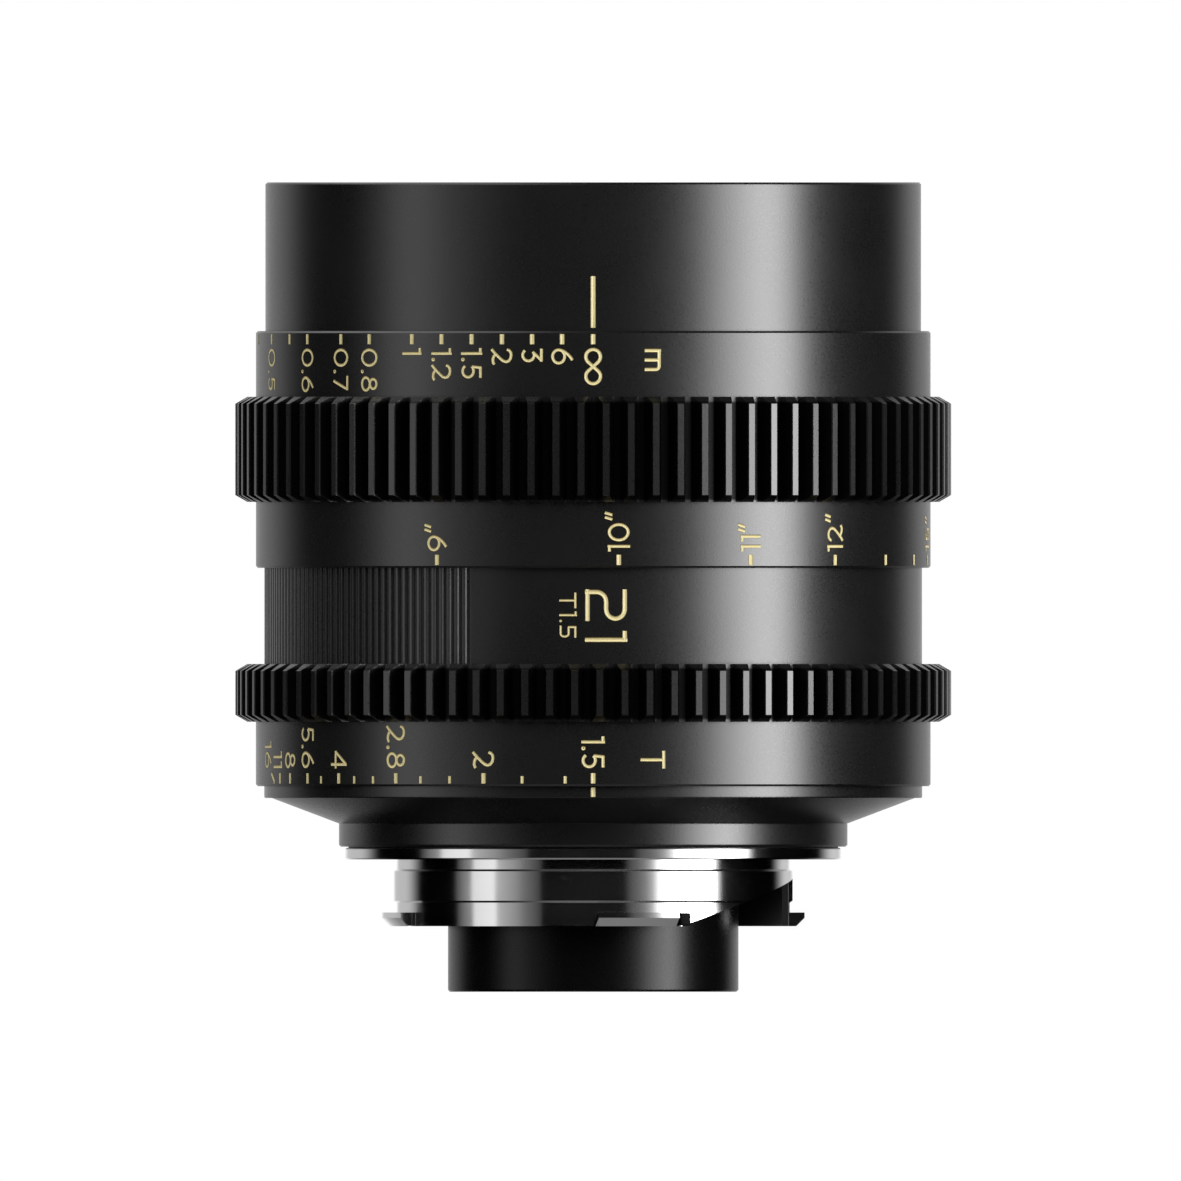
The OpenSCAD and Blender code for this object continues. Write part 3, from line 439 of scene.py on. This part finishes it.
# Each numeral: its width, its strokes on a cap height of 1, and the strokes that close on themselves
NUMERALS = {
    "0": (0.84, [ring(0.42, 0.5, 0.345, 0.422)], [0]),
    "1": (0.31, [line(0.235, 0, 0.235, 1), line(0, 0.915, 0.26, 0.915)], []),
    "2": (0.75, [
        [(0.06, 0.73), (0.1, 0.83), (0.19, 0.905), (0.32, 0.925), (0.46, 0.895), (0.57, 0.81), (0.61, 0.69),
         (0.57, 0.56), (0.46, 0.42), (0.32, 0.27), (0.18, 0.13), (0.05, 0.02)],
        [(0.27, 0.2), (0.36, 0.13), (0.46, 0.09), (0.56, 0.08), (0.65, 0.1), (0.73, 0.15)],
    ], []),
    "3": (0.64, [
        line(0.03, 0.92, 0.6, 0.92), line(0.57, 0.95, 0.17, 0.53),
        arc(0.31, 0.335, 0.255, 0.26, 118, -142),
    ], []),
    "4": (0.74, [line(0.565, 0, 0.565, 1), line(0, 0.3, 0.74, 0.3), line(0.03, 0.3, 0.55, 0.95)], []),
    "5": (0.66, [
        line(0.13, 0.92, 0.62, 0.92), line(0.17, 0.97, 0.12, 0.52),
        arc(0.32, 0.335, 0.265, 0.262, 138, -146),
    ], []),
    "6": (0.74, SIX, [0]),
    "7": (0.66, [line(0, 0.92, 0.64, 0.92), line(0.6, 0.95, 0.22, 0)], []),
    "8": (0.71, [ring(0.355, 0.3, 0.285, 0.228), ring(0.355, 0.735, 0.215, 0.188)], [0, 1]),
    "9": (0.74, turned_over(SIX, 0.74), [0]),
    ".": (0.17, [ring(0.085, 0.085, 0.025, 0.025)], [0]),
    "\"": (0.4, [line(0.02, 0.79, 0.12, 1.12), line(0.22, 0.79, 0.32, 1.12)], []),
    "m": (0.99, [
        line(0.075, 0, 0.075, 0.73),
        line(0.075, 0.655, 0.77, 0.655)[:-1] + arc(0.77, 0.505, 0.145, 0.15, 90, 0)
        + line(0.915, 0.5, 0.915, 0),
        line(0.495, 0.655, 0.495, 0),
    ], []),
    "T": (0.69, [line(0, 0.925, 0.69, 0.925), line(0.345, 0.95, 0.345, 0)], []),
}
LEMNISCATE = arc(0.39, 0, 0.325, 0.325, 41, 319) + arc(1.26, 0, 0.325, 0.325, 139, -139)

# The wide squared figures of the grip barrel
WIDE = {
    "2": (0.745, [
        line(0, 0.94, 0.464, 0.94)[:-1] + arc(0.464, 0.72, 0.223, 0.22, 90, -90)
        + line(0.44, 0.5, 0.31, 0.5, 2) + arc(0.289, 0.277, 0.23, 0.223, 90, 180)
        + line(0.059, 0.25, 0.059, 0, 4),
        line(0, 0.06, 0.745, 0.06),
    ], []),
    "1": (0.265, [line(0.205, 0, 0.205, 1, 10), line(0, 0.94, 0.24, 0.94)], []),
    "T": (0.88, [line(0, 0.92, 0.88, 0.92), line(0.44, 0.95, 0.44, 0)], []),
    ".": (0.16, [ring(0.08, 0.08, 0.015, 0.015)], [0]),
    "5": (0.69, [
        line(0.08, 0.92, 0.69, 0.92), line(0.08, 0.97, 0.08, 0.5),
        line(0.08, 0.54, 0.45, 0.54)[:-1] + arc(0.45, 0.31, 0.17, 0.23, 90, -90)
        + line(0.41, 0.08, 0, 0.08),
    ], []),
}


def word(text, cap, stroke, at, z, way, font=NUMERALS, align="start", low=-0.5, gap=0.11):
    """Strokes of a word that reads down (way -1) or up (way 1) the barrel.

    at is the arc length of its middle line, and z the level of its start or end. Millimetres.
    """
    length = sum(font[c][0] for c in text) + gap * (len(text) - 1)
    pen = 0.0 if align == "start" else -length
    strokes = []
    for letter in text:
        width, parts, closed = font[letter]
        for i, part in enumerate(parts):
            points = [(at - way * cap * (y + low), z + way * cap * (x + pen)) for x, y in part]
            strokes.append((points, cap * stroke / 2, i in closed))
        pen += width + gap
    return strokes


def tick(at, low, high, width):
    """One upright tick at an arc length. Millimetres."""
    return [(line(at, low, at, high, 2), width / 2, False)]


def lay_marks(name, strokes, radius, body, material, swell):
    """Lays flat strokes round a barrel of a radius in millimetres, as one filled and swelled mesh."""
    bpy.ops.object.select_all(action="DESELECT")
    bpy.ops.curve.primitive_nurbs_path_add()
    piece = bpy.context.object
    piece.name = piece.data.name = name
    curve = piece.data
    curve.splines.clear()
    curve.dimensions = "3D"
    curve.bevel_depth = MM
    curve.bevel_resolution = 2
    curve.use_fill_caps = True
    for points, half, closed in strokes:
        spline = curve.splines.new("POLY")
        spline.points.add(len(points) - 1)
        for point, (x, y) in zip(spline.points, points):
            point.co = (x * MM, y * MM, 0, 1)
            point.radius = half
        spline.use_cyclic_u = closed
    bpy.ops.object.convert(target="MESH")
    piece = bpy.context.object
    piece.scale = (1, 1, swell)
    piece.rotation_euler = (math.pi / 2, 0, 0)
    bpy.ops.object.transform_apply(location=True, rotation=True, scale=True)
    across = [corner[0] for corner in piece.bound_box]
    bpy.ops.object.modifier_add(type="SIMPLE_DEFORM")
    bend = piece.modifiers[-1]
    bend.deform_method = "BEND"
    bend.deform_axis = "Z"
    bend.angle = (max(across) - min(across)) / (radius * MM)
    bpy.ops.object.modifier_apply(modifier=bend.name)
    piece.location.y = -radius * MM
    bpy.ops.object.transform_apply(location=True, rotation=False, scale=False)
    bpy.ops.object.mode_set(mode="EDIT")
    bpy.ops.mesh.select_all(action="SELECT")
    bpy.ops.mesh.normals_make_consistent(inside=False)
    bpy.ops.object.mode_set(mode="OBJECT")
    bpy.ops.object.shade_smooth_by_angle(angle=math.radians(50))
    piece.data.materials.clear()
    piece.data.materials.append(material)
    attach(piece, body)


def round_to(degrees, radius):
    """Arc length of an angle from the index line, in millimetres."""
    return math.radians(degrees) * radius


def paint_for(context, radius):
    """The scale paint for marks on a radius, made once."""
    name = f"scale_paint_{round(radius * 100)}"
    if name in bpy.data.materials:
        return bpy.data.materials[name]
    finish = context.scene.lens_finish
    return scale_paint(name, radius, finish.paint, finish.paint_edge_shade)


def dress(nodes, material):
    """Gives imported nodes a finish."""
    for name in nodes:
        frame["nodes"][name].material_slots[0].material = material


def with_slot(slot):
    """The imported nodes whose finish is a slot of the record."""
    return [row["node"] for row in frame["record"]["subparts"] if row["material_slot"] == slot]


class LENS_OT_metal_finishes(Operator):
    """Finishes of the barrels, rings, screws, sleeves and the bayonet"""

    bl_idname = "lens.metal_finishes"
    bl_label = "Metal finishes"

    # Millimetres: root and tip radius of the teeth and levels of each gear, which bound the painted shade in
    # the tooth gaps; bore of the bayonet, turned lines
    teeth = (34.36, 36.3)
    gears = {"focus_ring": (36.4, 46.7), "iris_ring": (14.1, 19.6)}
    bore = 19.85
    fine_lines = 0.03
    lines = 0.05
    # Colour and roughness
    steel = ((0.34, 0.34, 0.35), 0.3)
    brass = ((0.62, 0.44, 0.17), 0.3)
    black_steel = ((0.07, 0.07, 0.072), 0.36)
    # Painted shade: the washers' brass is darkened nearly to black, as the thin gap between the rings where
    # they show lies in shade
    gap_shaded_brass = ((0.03, 0.028, 0.024), 0.4)
    chrome_rough = 0.11
    chrome_lift = 0.25

    def execute(self, context):
        finish = context.scene.lens_finish
        dress(with_slot("black_anodised"), black_metal(
            "black_anodised", finish.black, finish.black_rough, finish.grain, finish.edge,
        ))
        # The gear rings get painted shade in their tooth gaps
        for ring_name, levels in self.gears.items():
            dress([ring_name], black_metal(
                f"{ring_name}_black", finish.black, finish.black_rough, finish.grain, None,
                (*self.teeth, *levels),
            ))
        dress(["rear_tube"], black_metal(
            "tube_black", finish.tube, finish.black_rough, finish.grain, finish.edge,
        ))
        dress(with_slot("inside_black"), inside_black())
        lines = self.lines * MM
        dress(with_slot("steel"), turned_metal("steel", *self.steel, lines))
        dress(with_slot("brass"), turned_metal("brass", *self.brass, lines))
        dress(with_slot("chrome"), turned_metal(
            "chrome", finish.chrome, self.chrome_rough, self.fine_lines * MM, self.chrome_lift,
            bore=self.bore * MM,
        ))
        dress(with_slot("red_mark"), red_gloss())
        dress(["focus_grub_screws", "grip_screws"], turned_metal("black_steel", *self.black_steel, lines))
        # The washers show only through the gap between rings; their near-black brass is painted shade of
        # that gap
        dress(["focus_washers"], turned_metal("gap_shaded_brass", *self.gap_shaded_brass, lines))
        return {"FINISHED"}


class LENS_OT_glass_finishes(Operator):
    """Finishes of the lens elements and the iris blades"""

    bl_idname = "lens.glass_finishes"
    bl_label = "Glass and iris finishes"

    def execute(self, context):
        tint = context.scene.lens_finish.glass
        sheens = {
            "violet": ((0.55, 0.35, 0.95), ["front_element", "focus_element_2", "rear_element_2"]),
            "green": ((0.35, 0.9, 0.55), ["second_element", "focus_element_1", "rear_element_3"]),
            "amber": ((0.95, 0.6, 0.3), ["focus_element_3", "rear_element_1"]),
        }
        for name, (sheen, nodes) in sheens.items():
            dress(nodes, coated_glass(f"glass_{name}", tint, sheen))
        dress(with_slot("blade_black"), blade_steel())
        return {"FINISHED"}


class LENS_OT_focus_scales(Operator):
    """Metre and inch scales of the focus ring"""

    bl_idname = "lens.focus_scales"
    bl_label = "Focus scales"

    # Angles from the index line
    metres = {
        "6": -5.28, "3": -10.43, "2": -15.69, "1.5": -21.13, "1.2": -26.72, "1": -32.51, "0.8": -41.58,
        "0.7": -48.39, "0.6": -57.9, "0.5": -72.3, "0.4": -95, "0.35": -113, "0.28": -153.3, "0.26": -170.9,
        "0.24": -193,
    }
    metre_ticks = (0, -64.12, -83, -127)
    inches = {
        "9": -27.59, "10": 4.36, "11": 27.83, "12": 45.82, "15": 81.9, "18": 102.7, "20": 112.5,
        "24": 126.5, "30": 139.6, "42": 153.5,
    }
    inch_ticks = (60.08, 71.87)
    unit_at = 10.18
    # Levels in millimetres: foot and head of the ticks, start of the numbers, the infinity loop and the unit
    metre_tick = (52.39, 53.41)
    metre_start = 52.0
    loop_start = 52.02
    unit_start = 51.93
    inch_tick = (29.94, 30.98)
    inch_start = 31.31
    # Shares of the height: numbers too long for the full height, middle line of the unit, gap of the inches
    long_share = 0.68
    unit_middle = -0.365
    inch_gap = 0.13
    # Shares of the stroke
    loop_stroke = 1.15
    unit_stroke = 1.14

    def execute(self, context):
        marks = context.scene.lens_marks
        cap, width = marks.cap / MM, marks.tick / MM
        paint = paint_for(context, R_RING)
        strokes = []
        for text, degrees in self.metres.items():
            at = round_to(degrees, R_RING)
            strokes += tick(at, *self.metre_tick, width)
            height = cap if len(text) < 4 else self.long_share * cap
            strokes += word(text, height, marks.stroke, at, self.metre_start, -1)
        for degrees in self.metre_ticks:
            strokes += tick(round_to(degrees, R_RING), *self.metre_tick, width)
        loop = [(cap * y, self.loop_start - cap * x) for x, y in LEMNISCATE]
        strokes.append((loop, cap * marks.stroke * self.loop_stroke / 2, True))
        strokes += word(
            "m", cap, marks.stroke * self.unit_stroke, round_to(self.unit_at, R_RING),
            self.unit_start, -1, low=self.unit_middle,
        )
        lay_marks("metre_scale", strokes, R_RING, "focus_ring", paint, marks.swell)

        strokes = []
        for text, degrees in self.inches.items():
            at = round_to(degrees, R_RING)
            strokes += tick(at, *self.inch_tick, width)
            strokes += word(f"{text}\"", cap, marks.stroke, at, self.inch_start, 1, gap=self.inch_gap)
        for degrees in self.inch_ticks:
            strokes += tick(round_to(degrees, R_RING), *self.inch_tick, width)
        lay_marks("inch_scale", strokes, R_RING, "focus_ring", paint, marks.swell)
        return {"FINISHED"}


class LENS_OT_iris_scale(Operator):
    """Stop scale of the iris ring"""

    bl_idname = "lens.iris_scale"
    bl_label = "Iris scale"

    # Angles from the index line
    stops = {"1.5": 0, "2": -18.98, "2.8": -35.8, "4": -48.94, "5.6": -57.82, "8": -63.9, "11": -68.1}
    between = (-4.75, -12.16, -25.19, -30.79, -40.72, -45.09, -53.76)
    # The last stop: the foot and the head of its slanted tick, and its number
    last = (-70.9, -72.3, -74.4)
    letter_at = 10.23
    # Levels in millimetres: foot and heads of the ticks, bend of the slanted one, end of numbers and letter
    foot = 7.73
    head = 8.77
    small_head = 8.47
    bend = 8.0
    number_end = 9.26
    letter_end = 9.25
    # Millimetres that the 11 stands aside of its tick, and the height of the letter
    aside = -0.65
    letter_cap = 2.6
    # Share of the letter's height
    letter_stroke = 0.14

    def execute(self, context):
        marks = context.scene.lens_marks
        cap, width = marks.iris_cap / MM, marks.tick / MM
        strokes = []
        for text, degrees in self.stops.items():
            at = round_to(degrees, R_RING)
            strokes += tick(at, self.foot, self.head, width)
            side = self.aside if text == "11" else 0
            strokes += word(text, cap, marks.stroke, at + side, self.number_end, -1, align="end")
        foot_at, head_at, number_at = [round_to(degrees, R_RING) for degrees in self.last]
        slant = [(foot_at, self.foot), (foot_at, self.bend), (head_at, self.head)]
        strokes.append((slant, width / 2, False))
        strokes += word("16", cap, marks.stroke, number_at, self.number_end, -1, align="end")
        for degrees in self.between:
            strokes += tick(round_to(degrees, R_RING), self.foot, self.small_head, marks.small_tick / MM)
        strokes += word(
            "T", self.letter_cap, self.letter_stroke, round_to(self.letter_at, R_RING),
            self.letter_end, -1, align="end",
        )
        lay_marks("stop_scale", strokes, R_RING, "iris_ring", paint_for(context, R_RING), marks.swell)
        return {"FINISHED"}


class LENS_OT_index_marks(Operator):
    """Index lines of the fixed barrels, and the focal length and stop on the grip barrel"""

    bl_idname = "lens.index_marks"
    bl_label = "Index marks"

    # Levels of the lines in millimetres, and how much wider the front one is than a tick
    front_line = (54.07, 59.3)
    stop_line = (6.36, 7.31)
    back_line = (28.3, 29.3)
    front_wider = 1.04
    # Height, stroke and gap as shares of it, foot round the barrel and level of the start; millimetres
    figures = {
        "21": (4.31, 0.115, 0.235, -0.834, 27.46),
        "T1.5": (1.785, 0.145, 0.19, -3.453, 27.13),
    }

    def execute(self, context):
        marks = context.scene.lens_marks
        width = marks.tick / MM
        front = tick(0, *self.front_line, width * self.front_wider)
        stop = tick(0, *self.stop_line, width)
        grip = []
        for text, (cap, stroke, gap, at, start) in self.figures.items():
            grip += word(text, cap, stroke, at, start, -1, WIDE, low=0, gap=gap)
        grip += tick(round_to(180, R_GRIP), *self.back_line, width)
        for name, strokes, radius in (
            ("front_index", front, R_FRONT), ("stop_index", stop, R_TRIM), ("grip_figures", grip, R_GRIP),
        ):
            lay_marks(name, strokes, radius, "barrel", paint_for(context, radius), marks.swell)
        return {"FINISHED"}


class LENS_OT_filter_thread(Operator):
    """Thread ridge inside the front barrel"""

    bl_idname = "lens.filter_thread"
    bl_label = "Filter thread"

    # Millimetres: pitch, radius of the wall, level of the first turn, corners of the ridge about them
    pitch = 0.75
    wall = 30.75
    start = 65.5
    ridge = ((0.03, -0.32), (0.03, 0.32), (-0.36, 0.0))
    turns = 4
    steps = 144

    def execute(self, context):
        bpy.ops.object.select_all(action="DESELECT")
        bpy.ops.mesh.primitive_circle_add(vertices=len(self.ridge), radius=MM, fill_type="NOTHING")
        piece = bpy.context.object
        piece.name = piece.data.name = "filter_thread"
        for vertex, (x, z) in zip(piece.data.vertices, self.ridge):
            vertex.co = (self.wall * MM + x * MM, 0, self.start * MM + z * MM)
        bpy.ops.object.modifier_add(type="SCREW")
        screw = piece.modifiers[-1]
        screw.axis = "Z"
        screw.screw_offset = self.pitch * MM
        screw.iterations = self.turns
        screw.steps = screw.render_steps = self.steps
        bpy.ops.object.modifier_apply(modifier=screw.name)
        bpy.ops.object.mode_set(mode="EDIT")
        bpy.ops.mesh.select_all(action="SELECT")
        bpy.ops.mesh.normals_make_consistent(inside=False)
        bpy.ops.object.mode_set(mode="OBJECT")
        bpy.ops.object.shade_smooth_by_angle(angle=math.radians(30))
        piece.data.materials.append(bpy.data.materials["black_anodised"])
        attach(piece, "barrel")
        return {"FINISHED"}


class LENS_OT_notch_shade(Operator):
    """Near-black block beside the front lug of the bayonet, as painted shade of the keyway notch"""

    bl_idname = "lens.mount_key"
    bl_label = "Mount key"

    # Millimetres and degrees: place round the axis, level, size and rounding of the block
    reach = 19.8
    azimuth = 27.6
    level = -6.08
    size = (1.2, 1.0, 1.3)
    rounding = 0.12
    # Colour and roughness: near black, as painted shade of the keyway
    black = ((0.004, 0.004, 0.004), 0.5)

    def execute(self, context):
        grain = context.scene.lens_finish.grain
        reach, turn = self.reach * MM, math.radians(self.azimuth)
        bpy.ops.object.select_all(action="DESELECT")
        bpy.ops.mesh.primitive_cube_add(
            size=1, location=(reach * math.sin(turn), -reach * math.cos(turn), self.level * MM),
            rotation=(0, 0, turn), scale=[side * MM for side in self.size],
        )
        piece = bpy.context.object
        piece.name = piece.data.name = "mount_key"
        bpy.ops.object.transform_apply(location=True, rotation=True, scale=True)
        bpy.ops.object.mode_set(mode="EDIT")
        bpy.ops.mesh.select_all(action="SELECT")
        bpy.ops.mesh.bevel(offset=self.rounding * MM, segments=3)
        bpy.ops.object.mode_set(mode="OBJECT")
        bpy.ops.object.shade_smooth_by_angle(angle=math.radians(30))
        piece.data.materials.append(black_metal("notch_shade_black", *self.black, grain, None))
        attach(piece, "barrel")
        return {"FINISHED"}


class LENS_OT_stage(Operator):
    """Camera, floor, lamps and background"""

    bl_idname = "lens.stage"
    bl_label = "Stage"

    # Middle of the picture, across and up
    middle = (-0.275 * MM, 27.35 * MM)
    # Distance of the camera, distance and height of the lamps, side of the floor and its gap to the tube
    camera_distance = 0.6
    lamp_distance = 0.5
    lamp_height = 0.6
    floor_side = 1.2
    floor_gap = 0.02 * MM
    # Where each lamp stands, half the angle that it takes up, and its brightness at angles; degrees
    key_lamp = (50, 32, (
        (18, 0), (22, 0.01), (26, 0.015), (30, 0.025), (34, 0.05), (38, 0.14), (42, 0.33), (50, 0.55),
        (54, 0.7), (58, 0.9), (62, 1), (66, 0.96), (70, 0.72), (73, 0.4), (75, 0.12), (79, 0),
    ))
    fill_lamp = (-59, 29, (
        (-87, 0), (-84, 0.1), (-80, 0.2), (-75, 0.3), (-73, 0.85), (-58.5, 1), (-57, 0.5),
        (-54, 0.45), (-50, 0.38), (-45, 0.3), (-40, 0.17), (-36, 0.12), (-30, 0.05),
    ))

    def lamp(self, name, azimuth, half, fall, power):
        """A tall soft lamp that faces the lens at an angle from the camera's side.

        It reaches over half degrees to each side. fall lists its brightness at angles.
        """
        distance, turn = self.lamp_distance, math.radians(azimuth)
        bpy.ops.object.light_add(type="AREA", location=(
            distance * math.sin(turn), -distance * math.cos(turn), self.middle[1],
        ))
        lamp = bpy.context.object
        lamp.name = name
        lamp.rotation_euler = (math.pi / 2, 0, turn)
        lamp.data.shape = "RECTANGLE"
        edge = math.tan(math.radians(half))
        lamp.data.size = 2 * distance * edge
        lamp.data.size_y = self.lamp_height
        lamp.data.energy = power
        lamp.data.use_nodes = True
        tree = lamp.data.node_tree
        shade = Shade(tree)
        across = shade.axes(shade.node("ShaderNodeNewGeometry", out="Parametric"))[0]
        stops = []
        for angle, bright in fall:
            place = (1 + math.tan(math.radians(angle - azimuth)) / edge) / 2
            stops.append((place, rgba((bright, bright, bright))))
        ramp = shade.node("ShaderNodeValToRGB", {"stops": stops}, {"Fac": across})
        tree.links.new(ramp.out, tree.nodes["Emission"].inputs["Strength"])

    def world(self, scene):
        """White to the camera; behind the lens a white wall, in front of it a dim room."""
        world = bpy.data.worlds.new("studio")
        world.use_nodes = True
        scene.world = world
        tree = world.node_tree
        shade = Shade(tree)
        x, y, z = shade.axes(shade.node("ShaderNodeTexCoord", out="Generated"))
        path = shade.node("ShaderNodeLightPath").out.node
        camera, glossy, through = [
            Shade(tree, path.outputs[name])
            for name in ("Is Camera Ray", "Is Glossy Ray", "Is Transmission Ray")
        ]
        # What the metal mirrors: the wall behind, the ground, and a panel above on the left
        wall = shade.between(y - 0.09 * x, 0.56, 0.84) * (0.58 + 0.08 * x)
        wall = wall + 0.35 * shade.between(y, 0.95, 1)
        ground = 0.2 * shade.between(0 - z, 0.8, 0.95)
        panel = shade.between(z, 0.45, 0.7) * shade.between(0 - x, 0.08, 0.35)
        room = wall * shade.between(z, -0.6, -0.1) + ground + 1.4 * panel
        # What lights paint and floor: from all sides, from above and from the camera's side
        sky = 0.06 + 0.5 * shade.between(z, -0.3, 0.7) + 1.4 * shade.between(0 - y, 0.4, 0.95)
        soft = shade.math("MAXIMUM", room * glossy, sky * (1 - glossy))
        level = shade.math("MAXIMUM", soft, shade.math("MAXIMUM", camera, through))
        tree.links.new(level.out, tree.nodes["Background"].inputs["Color"])

    def execute(self, context):
        studio = context.scene.lens_studio
        scene = context.scene
        scene.view_settings.view_transform = "Standard"
        x, z = self.middle
        bpy.ops.object.camera_add(location=(x, -self.camera_distance, z), rotation=(math.pi / 2, 0, 0))
        camera = context.object
        camera.name = "camera"
        camera.data.type = "ORTHO"
        camera.data.ortho_scale = studio.view_width
        scene.camera = camera

        bpy.ops.object.select_all(action="DESELECT")
        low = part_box("rear_tube")[0].z
        bpy.ops.mesh.primitive_plane_add(size=self.floor_side, location=(0, 0, low - self.floor_gap))
        floor = context.object
        floor.name = "floor"
        bpy.ops.object.transform_apply(location=True, rotation=False, scale=False)
        material, shade, shader = new_material("floor")
        slow = shade.noise(shade.place(), 60 * MM)
        feed(
            shader, Roughness=0.85,
            Base_Color=shade.mix(slow, rgba(studio.floor, 0.98), rgba(studio.floor, 1.02)),
        )
        floor.data.materials.append(material)
        floor.visible_glossy = False

        self.lamp("key", *self.key_lamp, studio.key)
        self.lamp("fill", *self.fill_lamp, studio.fill)
        self.world(scene)
        return {"FINISHED"}


class LENS_PT_panel(Panel):
    """Lists the steps that dress the lens"""

    bl_idname = "LENS_PT_panel"
    bl_label = "Cinema prime lens"
    bl_space_type = "VIEW_3D"
    bl_region_type = "UI"
    bl_category = "Lens"

    def draw(self, context):
        for step in STEPS:
            self.layout.operator(step.bl_idname)
        for group in (context.scene.lens_finish, context.scene.lens_marks, context.scene.lens_studio):
            for name in group.__annotations__:
                self.layout.prop(group, name)


GROUPS = {"lens_finish": FinishSettings, "lens_marks": MarkSettings, "lens_studio": StudioSettings}
STEPS = (
    LENS_OT_stage, LENS_OT_metal_finishes, LENS_OT_glass_finishes, LENS_OT_focus_scales,
    LENS_OT_iris_scale, LENS_OT_index_marks, LENS_OT_filter_thread, LENS_OT_notch_shade,
)
CLASSES = (*GROUPS.values(), *STEPS, LENS_PT_panel)


def register():
    for cls in CLASSES:
        bpy.utils.register_class(cls)
    for name, group in GROUPS.items():
        setattr(bpy.types.Scene, name, PointerProperty(type=group))


def unregister():
    for name in GROUPS:
        delattr(bpy.types.Scene, name)
    for cls in reversed(CLASSES):
        bpy.utils.unregister_class(cls)


def main():
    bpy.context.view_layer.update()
    register()
    bpy.ops.object.select_all(action="DESELECT")
    bpy.ops.lens.stage()
    bpy.ops.lens.metal_finishes()
    bpy.ops.lens.glass_finishes()
    bpy.ops.lens.focus_scales()
    bpy.ops.lens.iris_scale()
    bpy.ops.lens.index_marks()
    bpy.ops.lens.filter_thread()
    bpy.ops.lens.mount_key()


if __name__ == "__main__":
    main()
